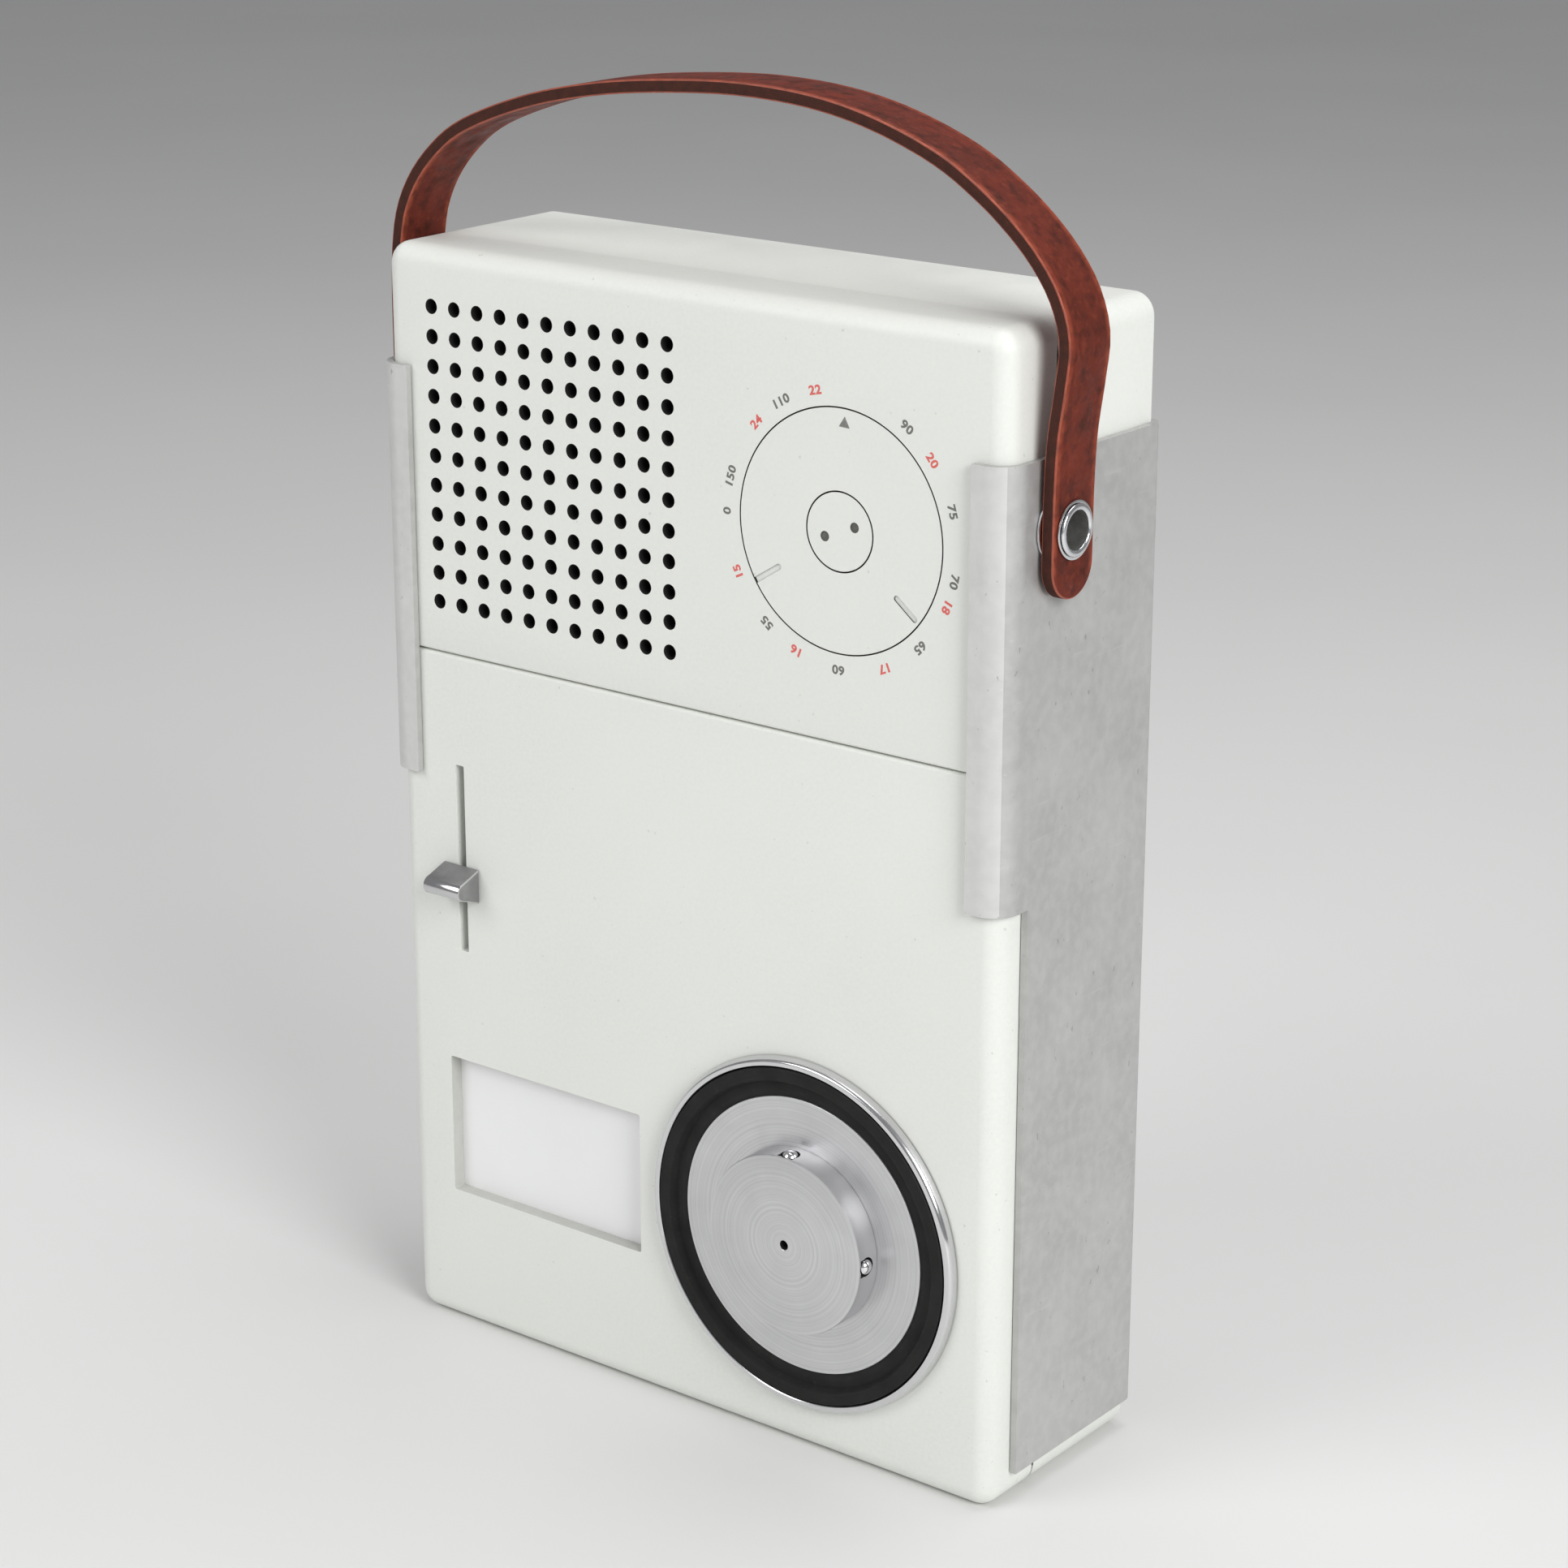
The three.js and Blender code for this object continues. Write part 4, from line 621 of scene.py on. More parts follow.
# --- Tuning dial ---
# A flat white disc, flush with the front, on a hub that carries the dial gear. It is moulded, with two
# finger grooves cut in its face and a small printed triangle that points at the numbers.
DIAL_THICK = 2.4 * MM
KNOB_BORE = 7.85 * MM
HUB_RADIUS = 9.35 * MM
HUB_BACK = 3.9 * MM
GEAR_RADIUS = 7.0 * MM
GEAR_BACK = 10.0 * MM
SHAFT_HOLE = 3.3 * MM
WEB_FRONT = 2.7 * MM
GROOVE_WIDTH = 1.2 * MM
GROOVE_DEPTH = 0.3 * MM
GROOVE_INNER = 16.4 * MM
GROOVE_OUTER = 22.9 * MM
SHORT_GROOVE_TURN = -38.7
OPEN_GROOVE_TURN = -147.8
MARK_TURN = 87.2
MARK_TIP = 22.1 * MM
MARK_BASE = 20.0 * MM
MARK_HALF_WIDTH = 1.24 * MM

dial_plastic = case_plastic.copy()
dial_plastic.name = "dial_plastic"
mark_grey = printing_ink("mark_grey", (0.20, 0.20, 0.19), (0.32, 0.32, 0.30))


def turned(name, outline, origin, axis, out, steps, *finishes, edge=0.0, smooth_below=35):
    """A piece turned on a lathe: the outline lists radius and distance along the axis."""
    bm = bmesh.new()
    origin, axis, out = Vector(origin), Vector(axis), Vector(out)
    ring = [bm.verts.new(origin + out * radius + axis * along) for radius, along in outline]
    closed = outline[0][0] > 0
    pairs = list(zip(ring, ring[1:]))
    if closed:
        pairs.append((ring[-1], ring[0]))
    for pair in pairs:
        bm.edges.new(pair)
    bmesh.ops.spin(
        bm,
        geom=bm.verts[:] + bm.edges[:],
        cent=origin,
        axis=axis,
        angle=2 * math.pi,
        steps=steps,
        use_merge=True,
        use_duplicate=False,
    )
    bmesh.ops.remove_doubles(bm, verts=bm.verts, dist=1e-7)
    bmesh.ops.recalc_face_normals(bm, faces=bm.faces)
    if edge:
        round_off(bm, sharp_edges(bm.edges, 40), edge, 2)
    return piece_from(bm, name, *finishes, smooth_below=smooth_below)


def turned_on_front(name, outline, x, z, steps, *finishes, **settings):
    """A turned piece on an axis square to the front; distances are behind the case's front."""
    return turned(name, outline, (x, FRONT, z), (0, 1, 0), (1, 0, 0), steps, *finishes, **settings)


dial_outline = [
    (KNOB_BORE, 0),
    (DIAL_RADIUS, 0),
    (DIAL_RADIUS, DIAL_THICK),
    (HUB_RADIUS, DIAL_THICK),
    (HUB_RADIUS, HUB_BACK),
    (GEAR_RADIUS, HUB_BACK),
    (GEAR_RADIUS, GEAR_BACK),
    (SHAFT_HOLE, GEAR_BACK),
    (SHAFT_HOLE, WEB_FRONT),
    (KNOB_BORE, WEB_FRONT),
]
dial = turned_on_front("dial_disc", dial_outline, DIAL_X, DIAL_Z, 128, dial_plastic)
to_dial = Matrix.Translation((DIAL_X, FRONT, DIAL_Z))
half = GROOVE_WIDTH / 2
for degrees, outer in (
    (SHORT_GROOVE_TURN, GROOVE_OUTER),
    (OPEN_GROOVE_TURN, DIAL_RADIUS + OVERCUT),
):
    groove = cuboid((GROOVE_INNER, -GROOVE_DEPTH, -half), (outer, GROOVE_DEPTH, half))
    round_off(groove, edges_along(groove, 1), 0.98 * half, 6)
    turn = Matrix.Rotation(-math.radians(degrees), 4, "Y")
    bmesh.ops.transform(groove, matrix=to_dial @ turn, verts=groove.verts)
    combine(dial, groove, "DIFFERENCE")
# The dial's rim and its bore for the knob are painted dark grey, as painted shade in the gaps.
paint_bores(dial, painted_gap_shade, [(DIAL_X, DIAL_Z, DIAL_RADIUS), (DIAL_X, DIAL_Z, KNOB_BORE)])


def in_groove(spot, normal):
    in_ring = GROOVE_INNER - NEAR < from_middle(spot, DIAL_X, DIAL_Z) < DIAL_RADIUS - NEAR
    return in_ring and abs(normal.y) < 0.5 and spot.y < FRONT + GROOVE_DEPTH


# The groove walls are painted dark grey, as painted shade in the grooves.
paint(dial, painted_gap_shade, in_groove)
soften(dial, FINE_EDGE)
fit(dial, "dial", "case_white", "tuning_dial")

mark_mesh = bmesh.new()
mark_corners = (
    (MARK_TIP, 0, 0),
    (MARK_BASE, 0, MARK_HALF_WIDTH),
    (MARK_BASE, 0, -MARK_HALF_WIDTH),
)
mark_face = mark_mesh.faces.new([mark_mesh.verts.new(corner) for corner in mark_corners])
raise_faces(mark_mesh, [mark_face], INK_RISE)
turn = Matrix.Rotation(-math.radians(MARK_TURN), 4, "Y")
bmesh.ops.transform(mark_mesh, matrix=to_dial @ turn, verts=mark_mesh.verts)
bmesh.ops.recalc_face_normals(mark_mesh, faces=mark_mesh.faces)
fit(piece_from(mark_mesh, "dial_triangle", mark_grey), "dial", "case_white")


# --- Volume knob ---
# A white button in the middle of the dial, on a short shaft into the control behind it.
# Two small round dimples, painted dark grey, give the fingertip a hold.
KNOB_RADIUS = 7.55 * MM
KNOB_SHAFT = 3.0 * MM
SHAFT_END = 12.7 * MM
DIMPLE_RADIUS = 1.0 * MM
DIMPLE_OFFSET = 3.7 * MM
DIMPLE_TURN = 21
DIMPLE_DEPTH = 0.3 * MM

dimple_paint = printing_ink("dimple_paint", (0.115, 0.115, 0.105), (0.20, 0.20, 0.19))
knob_outline = [
    (0, 0),
    (KNOB_RADIUS, 0),
    (KNOB_RADIUS, DIAL_THICK),
    (KNOB_SHAFT, DIAL_THICK),
    (KNOB_SHAFT, SHAFT_END),
    (0, SHAFT_END),
]
knob = turned_on_front("volume_button", knob_outline, DIAL_X, DIAL_Z, 72, dial_plastic)
dimples = bmesh.new()
for degrees in (DIMPLE_TURN, DIMPLE_TURN + 180):
    dot_x = DIAL_X + DIMPLE_OFFSET * math.cos(math.radians(degrees))
    dot_z = DIAL_Z + DIMPLE_OFFSET * math.sin(math.radians(degrees))
    rod_through(dimples, DIMPLE_RADIUS, dot_x, dot_z, FRONT - OVERCUT, FRONT + DIMPLE_DEPTH, 32)
combine(knob, dimples, "DIFFERENCE")
# The knob's rim is painted dark grey, as painted shade in the gap round it.
paint_bores(knob, painted_gap_shade, [(DIAL_X, DIAL_Z, KNOB_RADIUS)])


def in_dimple(spot, normal):
    at_dimple = abs(from_middle(spot, DIAL_X, DIAL_Z) - DIMPLE_OFFSET) < DIMPLE_RADIUS + NEAR
    return at_dimple and FRONT + NEAR / 2 < spot.y < FRONT + DIMPLE_DEPTH + NEAR / 2


paint(knob, dimple_paint, in_dimple)
soften(knob, FINE_EDGE)
fit(knob, "volume", "case_white", "volume_knob")


# --- Turntable dish ---
# Turned from aluminium: a curved polished rim that overhangs the case front, and a flat disc in the
# middle with the fine rings that the turning tool leaves. It runs on a spindle behind.
RIM_WIDTH = 1.75 * MM
RIM_HEIGHT = 2.35 * MM
RIM_LIP = 0.95 * MM
RIM_FOOT = 0.3 * MM
MAT_GAP = 0.3 * MM
MAT_OUTER = PLATTER_RADIUS - RIM_WIDTH - MAT_GAP
MAT_STEP = MAT_OUTER - 2.7 * MM
MAT_INNER = MAT_OUTER - 6.15 * MM
MAT_FLOOR = 0.9 * MM
DISC_HEIGHT = 1.15 * MM
DISC_RADIUS = MAT_INNER - 0.1 * MM
DISC_LIFT = 0.05 * MM
DISH_BACK = 1.7 * MM
DISH_EDGE = PLATTER_RADIUS - PLATTER_OVERHANG - 0.5 * MM
DISH_HUB = 8.0 * MM
DISH_HUB_BACK = 6.0 * MM
SPINDLE_HOLE = 3.3 * MM
CHANNEL_FLOOR = MAT_FLOOR - 0.35 * MM
DISC_EDGE = 0.1 * MM
RIM_EDGE = 0.15 * MM
RIM_STEPS = 10
SKIN = 0.02 * MM


def turning_rings(finish, centre_x, centre_z, pitch, depth, share, dark):
    """Rings round an axis square to the front: a pattern that depends on the radius alone."""
    nodes = finish.node_tree.nodes
    wire = finish.node_tree.links.new
    place = nodes.new("ShaderNodeTexCoord")
    mapping = nodes.new("ShaderNodeMapping")
    mapping.inputs["Location"].default_value = (-centre_x, 0, -centre_z)
    flatten = nodes.new("ShaderNodeVectorMath")
    flatten.operation = "MULTIPLY"
    flatten.inputs[1].default_value = (1, 0, 1)
    radius = nodes.new("ShaderNodeVectorMath")
    radius.operation = "LENGTH"
    rings = nodes.new("ShaderNodeTexNoise")
    rings.noise_dimensions = "1D"
    rings.inputs["Scale"].default_value = 1 / pitch
    rings.inputs["Detail"].default_value = 2
    wire(place.outputs["Object"], mapping.inputs["Vector"])
    wire(mapping.outputs["Vector"], flatten.inputs[0])
    wire(flatten.outputs["Vector"], radius.inputs[0])
    wire(radius.outputs["Value"], rings.inputs["W"])
    value = rings.outputs["Fac"]
    relief(finish, value, depth)
    tint(finish, between(finish, value, 0, share), dark)


turned_aluminium = new_finish("turned_aluminium", (0.70, 0.70, 0.71), 0.34, 0.85)
turning_rings(turned_aluminium, PLATTER_X, PLATTER_Z, 0.55 * MM, 0.012 * MM, 0.5, (0.50, 0.50, 0.515))
patches(turned_aluminium, 0.008, 0.35, (0.58, 0.58, 0.59))
uneven_gloss(turned_aluminium, 0.005, 0.3, 0.46)

polished_rim = new_finish("polished_rim", (0.72, 0.72, 0.73), 0.14, 1.0)
turning_rings(polished_rim, PLATTER_X, PLATTER_Z, 0.35 * MM, 0.002 * MM, 0.3, (0.62, 0.62, 0.64))
uneven_gloss(polished_rim, 0.006, 0.12, 0.24)

rim_wall = PLATTER_RADIUS - RIM_WIDTH
rim_rise = RIM_HEIGHT - RIM_FOOT
rim_curve = []
for step in range(RIM_STEPS + 1):
    turn = step / RIM_STEPS * math.pi / 2
    reach = PLATTER_RADIUS - RIM_LIP + RIM_LIP * math.cos(turn)
    rim_curve.append((reach, -RIM_FOOT - rim_rise * math.sin(turn)))
dish_outline = [
    (SPINDLE_HOLE, -DISC_HEIGHT),
    (DISC_RADIUS - DISC_EDGE, -DISC_HEIGHT),
    (DISC_RADIUS, -DISC_HEIGHT + DISC_EDGE),
    (DISC_RADIUS, -CHANNEL_FLOOR),
    (rim_wall, -CHANNEL_FLOOR),
    (rim_wall, -RIM_HEIGHT + RIM_EDGE),
    (rim_wall + RIM_EDGE, -RIM_HEIGHT),
    *reversed(rim_curve),
    (DISH_EDGE, -RIM_FOOT),
    (DISH_EDGE, DISH_BACK),
    (DISH_HUB, DISH_BACK),
    (DISH_HUB, DISH_HUB_BACK),
    (SPINDLE_HOLE, DISH_HUB_BACK),
]
dish = turned_on_front(
    "turned_dish", dish_outline, PLATTER_X, PLATTER_Z, 160, turned_aluminium, polished_rim, shadow_black
)


def on_rim(spot, normal):
    return from_middle(spot, PLATTER_X, PLATTER_Z) > rim_wall + SKIN


def in_shadow(spot, normal):
    reach = from_middle(spot, PLATTER_X, PLATTER_Z)
    under_rim = reach > DISH_EDGE and normal.y > 0.5
    in_channel = reach > DISC_RADIUS + SKIN and spot.y < FRONT
    return under_rim if on_rim(spot, normal) else in_channel


paint(dish, polished_rim, on_rim)
paint(dish, shadow_black, in_shadow)
fit(dish, "turntable", "aluminium", "platter")


# --- Rubber mat ---
# A moulded black ring lies in the dish's channel. Its outer band stands level with the rim, and a
# small slope drops to a lower inner band beside the disc.
MAT_HEIGHT = 2.5 * MM
MAT_SLOPE = 0.6 * MM
MAT_UNDER = 0.6 * MM
MAT_BREAK = 0.1 * MM
MAT_ROUND = 0.25 * MM

mat_rubber = new_finish("mat_rubber", (0.013, 0.013, 0.013), 0.7)
shader_of(mat_rubber).inputs["Specular IOR Level"].default_value = 0.25
patches(mat_rubber, 0.004, 0.6, (0.020, 0.020, 0.019))
patches(mat_rubber, 0.0012, 0.4, (0.045, 0.045, 0.043), detail=4, start=0.62, stop=0.8)
turning_rings(mat_rubber, PLATTER_X, PLATTER_Z, 0.9 * MM, 0.01 * MM, 0.3, (0.008, 0.008, 0.008))
uneven_gloss(mat_rubber, 0.006, 0.6, 0.8)
mat_outline = [
    (MAT_INNER, -MAT_UNDER),
    (MAT_INNER, -MAT_FLOOR + MAT_BREAK / 2),
    (MAT_INNER + MAT_BREAK, -MAT_FLOOR),
    (MAT_STEP - MAT_SLOPE, -MAT_FLOOR),
    (MAT_STEP, -MAT_HEIGHT + 1.5 * MAT_BREAK),
    (MAT_STEP + 2 * MAT_BREAK, -MAT_HEIGHT),
    (MAT_OUTER - MAT_ROUND, -MAT_HEIGHT),
    (MAT_OUTER, -MAT_HEIGHT + MAT_ROUND),
    (MAT_OUTER, -MAT_UNDER),
]
mat = turned_on_front("mat_ring", mat_outline, PLATTER_X, PLATTER_Z, 160, mat_rubber)
fit(mat, "turntable", "rubber", "rubber_mat")


# --- Record hub ---
# A turned aluminium puck that fits the large hole of a small record. Four spring balls stand a little
# out of sockets in its side and hold the record; a small hole in the middle takes an adaptor.
PUCK_RADIUS = 18.9 * MM
PUCK_HEIGHT = 6.8 * MM
PUCK_EDGE = 0.35 * MM
CENTRE_HOLE = 1.0 * MM
SPINDLE_FRONT = 3.4 * MM
BALL_RADIUS = 1.75 * MM
BALL_HEIGHT = 4.6 * MM
BALL_REACH = PUCK_RADIUS - 0.9 * MM
SOCKET_RADIUS = 2.0 * MM
SOCKET_FLOOR = 0.85 * PUCK_RADIUS
SOCKET_MOUTH = 1.1 * PUCK_RADIUS
SPINDLE_ROOM = 0.3 * MM
HOLE_EDGE = 0.15 * MM

puck_outline = [
    (CENTRE_HOLE, -PUCK_HEIGHT + HOLE_EDGE),
    (CENTRE_HOLE + HOLE_EDGE, -PUCK_HEIGHT),
    (PUCK_RADIUS - PUCK_EDGE, -PUCK_HEIGHT),
    (PUCK_RADIUS - DISC_EDGE, -PUCK_HEIGHT + DISC_EDGE),
    (PUCK_RADIUS, -PUCK_HEIGHT + PUCK_EDGE),
    (PUCK_RADIUS, -DISC_HEIGHT - DISC_LIFT),
    (SPINDLE_HOLE, -DISC_HEIGHT - DISC_LIFT),
    (SPINDLE_HOLE, -SPINDLE_FRONT - SPINDLE_ROOM),
    (CENTRE_HOLE, -SPINDLE_FRONT - SPINDLE_ROOM),
]
puck = turned_on_front("hub_puck", puck_outline, PLATTER_X, PLATTER_Z, 128, turned_aluminium)
ball_turns = [index * math.pi / 2 for index in range(4)]
ball_ways = [Vector((math.cos(turn), 0, math.sin(turn))) for turn in ball_turns]
ball_middle = Vector((PLATTER_X, FRONT - BALL_HEIGHT, PLATTER_Z))
sockets = bmesh.new()
for out in ball_ways:
    start = ball_middle + out * SOCKET_FLOOR
    rod(sockets, SOCKET_RADIUS, start, ball_middle + out * SOCKET_MOUTH, 32)
combine(puck, sockets, "DIFFERENCE")
paint_bores(puck, shadow_black, [(PLATTER_X, PLATTER_Z, CENTRE_HOLE)])


def in_socket(spot, normal):
    offset = spot - ball_middle
    reaches = [(offset.dot(out), out) for out in ball_ways]
    near = [along for along, out in reaches if (offset - out * along).length < SOCKET_RADIUS + SKIN]
    return any(0 < along < PUCK_RADIUS - 1.5 * SKIN for along in near)


paint(puck, shadow_black, in_socket)
soften(puck, FINE_EDGE)
fit(puck, "turntable", "aluminium", "record_hub")

ball_chrome = new_finish("ball_chrome", (0.86, 0.86, 0.88), 0.1, 1.0)
uneven_gloss(ball_chrome, 0.001, 0.06, 0.18)
for index, turn in enumerate(ball_turns, 1):
    ball = bmesh.new()
    spot = (
        PLATTER_X + BALL_REACH * math.cos(turn),
        FRONT - BALL_HEIGHT,
        PLATTER_Z + BALL_REACH * math.sin(turn),
    )
    bmesh.ops.create_uvsphere(
        ball, u_segments=24, v_segments=14, radius=BALL_RADIUS, matrix=Matrix.Translation(spot)
    )
    ball_piece = piece_from(ball, f"spring_ball_{index}", ball_chrome, smooth_below=60)
    fit(ball_piece, "turntable", "chrome", f"catch_ball_{index}")


# --- Slide knob ---
# A metal wedge with a polished round nose. It is milled from bar, and its stem runs in the slot and
# lifts the shutter behind the window.
nose_low, nose_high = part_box("slide_knob")
NOSE_RADIUS = 1.9 * MM
SLIDE_EDGE = 0.28 * MM
STEM_HALF_X = 1.2 * MM
STEM_HALF_Z = 2.2 * MM
STEM_POCKET = 2.8 * MM
NOSE_POLISH = 0.6 * MM

slide_grey = new_finish("slide_grey", (0.36, 0.36, 0.365), 0.42, 0.9)
patches(slide_grey, 0.003, 0.7, (0.28, 0.28, 0.285))
uneven_gloss(slide_grey, 0.002, 0.36, 0.5)
relief(slide_grey, clouds(slide_grey, 0.0004, 2, stretch=(0.05, 1, 1)), 0.004 * MM)
slide_polish = new_finish("slide_polish", (0.62, 0.62, 0.63), 0.14, 1.0)
uneven_gloss(slide_polish, 0.002, 0.1, 0.22)
slide_z = (nose_low.z + nose_high.z) / 2
nose_y = nose_low.y + NOSE_RADIUS
wedge = bmesh.new()
for x in (nose_low.x, nose_high.x):
    across = Matrix.Translation((x, nose_y, slide_z)) @ Matrix.Rotation(math.radians(90), 4, "Y")
    bmesh.ops.create_circle(wedge, cap_ends=False, segments=64, radius=NOSE_RADIUS, matrix=across)
    for z in (nose_low.z, nose_high.z):
        wedge.verts.new((x, nose_high.y, z))
hull = bmesh.ops.convex_hull(wedge, input=wedge.verts)
bmesh.ops.delete(wedge, geom=list(set(hull["geom_interior"] + hull["geom_unused"])), context="VERTS")
bmesh.ops.dissolve_limit(
    wedge, angle_limit=math.radians(1), verts=wedge.verts, edges=wedge.edges, use_dissolve_boundaries=False
)
bmesh.ops.recalc_face_normals(wedge, faces=wedge.faces)
side_rims = edges_at(wedge, 0, nose_low.x) + edges_at(wedge, 0, nose_high.x)
round_off(wedge, side_rims, SLIDE_EDGE, 2)
slide = piece_from(wedge, "slide_wedge", slide_grey, slide_polish)
pocket_stop = FRONT - STEM_POCKET
pocket = cuboid(
    (SLOT_X - STEM_HALF_X, pocket_stop, slide_z - STEM_HALF_Z),
    (SLOT_X + STEM_HALF_X, FRONT + OVERCUT, slide_z + STEM_HALF_Z),
)
combine(slide, pocket, "DIFFERENCE")


def is_polished(spot, normal):
    on_nose = spot.y < nose_y + NOSE_POLISH and abs(normal.x) < 0.2
    return on_nose or 0.25 < abs(normal.x) < 0.97


paint(slide, slide_polish, is_polished)
slide.data.shade_smooth()
slide.data.set_sharp_from_angle(angle=math.radians(35))
fit(slide, "pickup_slide", "chrome", "slide_knob")


# --- Slot lips, shutter and carriage ---
# Two grey felt lips close the slot from behind and part round the stem. Behind the window a smooth
# white shutter hangs on the carriage, with a shallow channel that clears the lips when it rises.
LIP_REACH = 4.5 * MM
LIP_THICK = 0.8 * MM
LIP_PAST = 2.5 * MM
LIP_SLIT = 0.93 * MM
LIP_EDGE = 0.2 * MM
SHUTTER_GAP = 0.05 * MM
SHUTTER_CORNER = 1.0 * MM
SHUTTER_EDGE = 0.15 * MM
CHANNEL_PAST = 0.5 * MM
CHANNEL_DEEPER = 0.12 * MM

grey_felt = new_finish("grey_felt", (0.30, 0.30, 0.30), 0.95)
patches(grey_felt, 0.0006, 0.8, (0.18, 0.18, 0.18), detail=4)
grain(grey_felt, 0.0003, 0.05 * MM, detail=4)
white_sheet = new_finish("white_sheet", (0.93, 0.93, 0.935), 0.35)
patches(white_sheet, 0.02, 0.5, (0.88, 0.88, 0.885))
uneven_gloss(white_sheet, 0.006, 0.28, 0.42)
shutter_low, shutter_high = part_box("pickup_shutter")
shutter_mesh = cuboid((shutter_low.x, INNER_FRONT + SHUTTER_GAP, shutter_low.z), shutter_high)
round_off(shutter_mesh, edges_along(shutter_mesh, 1), SHUTTER_CORNER, 6)
shutter = piece_from(shutter_mesh, "window_shutter", white_sheet)
felt_channel = cuboid(
    (SLOT_X - LIP_REACH - CHANNEL_PAST, FRONT, WINDOW_TOP + SHUTTER_EDGE),
    (SLOT_X + LIP_REACH + CHANNEL_PAST, INNER_FRONT + LIP_THICK + CHANNEL_DEEPER, shutter_high.z + OVERCUT),
)
combine(shutter, felt_channel, "DIFFERENCE")
soften(shutter, SHUTTER_EDGE)
fit(shutter, "pickup_slide", "white_plastic", "pickup_shutter")
lips = bmesh.new()
felt_front = INNER_FRONT + SKIN
for side in (-1, 1):
    inner = SLOT_X + side * LIP_SLIT
    outer = SLOT_X + side * LIP_REACH
    strip = cuboid(
        (min(inner, outer), felt_front, SLOT_BOTTOM - LIP_PAST),
        (max(inner, outer), felt_front + LIP_THICK, SLOT_TOP + LIP_PAST),
    )
    strip_mesh = bpy.data.meshes.new("strip")
    round_off(strip, edges_along(strip, 2), LIP_EDGE, 3)
    strip.to_mesh(strip_mesh)
    lips.from_mesh(strip_mesh)
    strip.free()
fit(piece_from(lips, "slot_felt_lips", grey_felt), "case", "black_fabric")


# --- Carrier ---
# One aluminium sheet, sheared and bent round the back and sides of both units, with narrow lips over
# the radio's front. Its satin surface has fine scratches and small dark specks from use, and the lips'
# front faces are coloured paler and less metallic, a painted light for the front lit brighter than the sides.
SHEET = 1.4 * MM
SHEET_EDGE = 0.2 * MM
BORE_DEPTH = 5.0 * MM
FRONT_BEND = 5.65 * MM
BACK_BEND = 3.0 * MM
LIP_WIDTH = 8.5 * MM
LIP_FOOT = 124.7 * MM
SIDE_SETBACK = 7.0 * MM
EYELET_BORE = 4.5 * MM
COUNTERSINK = 1.1 * MM
SCREW_HEAD = 2.6 * MM


def sheet_finish(name, main, patch, light, metal):
    """Satin aluminium in soft patches, with fine scratches and small dark specks."""
    sheet = new_finish(name, main, 0.45, metal)
    patches(sheet, 0.014, 0.7, patch, detail=5, start=0.35, stop=0.65)
    patches(sheet, 0.0026, 0.35, light, detail=4, start=0.4, stop=0.65)
    scratches = clouds(sheet, 0.0011, 2, stretch=(1, 0.06, 1), turn=(0.25, 0, 0))
    tint(sheet, between(sheet, scratches, 0, 0.4, 0.68, 0.76), light)
    specks = clouds(sheet, 0.0014, 2, stretch=(1, 1, 0.6))
    tint(sheet, between(sheet, specks, 0, 0.5, 0.71, 0.76), (0.26, 0.26, 0.25))
    uneven_gloss(sheet, 0.005, 0.38, 0.56, detail=4)
    grain(sheet, 0.0018, 0.015 * MM, detail=4)
    return sheet


satin_sheet = sheet_finish("satin_sheet", (0.55, 0.55, 0.54), (0.46, 0.46, 0.455), (0.64, 0.64, 0.63), 0.5)
# Painted light: the same sheet in a paler, less metallic colour for the lips' front faces, lit brighter than
# the sides.
lip_sheet_painted_light = sheet_finish("lip_sheet_painted_light", (0.70, 0.70, 0.69), (0.63, 0.63, 0.62), (0.77, 0.77, 0.76), 0.3)

strap_low, strap_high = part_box("leather_strap")
EYELET_Y = (strap_low.y + strap_high.y) / 2
washer_low, washer_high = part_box("spacer_washer_right")
EYELET_Z = (washer_low.z + washer_high.z) / 2
plate = bmesh.new()
outline = (
    (plate_high.x - LIP_WIDTH, plate_low.y),
    (plate_high.x, plate_low.y),
    (plate_high.x, plate_high.y),
    (plate_low.x, plate_high.y),
    (plate_low.x, plate_low.y),
    (plate_low.x + LIP_WIDTH, plate_low.y),
)
foot = [plate.verts.new((x, y, plate_low.z)) for x, y in outline]
line = [plate.edges.new(pair) for pair in zip(foot, foot[1:])]
raised = bmesh.ops.extrude_edge_only(plate, edges=line)
raised_verts = [part for part in raised["geom"] if isinstance(part, bmesh.types.BMVert)]
bmesh.ops.translate(plate, verts=raised_verts, vec=(0, 0, plate_high.z - plate_low.z))
upright = [e for e in edges_along(plate, 2) if not e.is_boundary]
round_off(plate, [e for e in upright if e.verts[0].co.y < 0], FRONT_BEND, 12)
upright = [e for e in edges_along(plate, 2) if e.is_manifold and e.calc_face_angle() > 1.2]
round_off(plate, upright, BACK_BEND, 10)
setback_y = FRONT + SIDE_SETBACK
for point, away in (((0, 0, LIP_FOOT), (0, 0, 1)), ((0, setback_y, 0), (0, 1, 0))):
    cut_across(plate, point, away)
spare = []
for face in plate.faces:
    spot = face.calc_center_median()
    if spot.z < LIP_FOOT and spot.y < setback_y:
        spare.append(face)
bmesh.ops.delete(plate, geom=spare, context="FACES")
bmesh.ops.recalc_face_normals(plate, faces=plate.faces)
if sum(face.normal.y * face.calc_area() for face in plate.faces if face.calc_center_median().y > 0) < 0:
    bmesh.ops.reverse_faces(plate, faces=plate.faces)
bmesh.ops.solidify(plate, geom=plate.faces[:], thickness=SHEET)
bmesh.ops.recalc_face_normals(plate, faces=plate.faces)
carrier = piece_from(plate, "bent_carrier", satin_sheet, lip_sheet_painted_light)
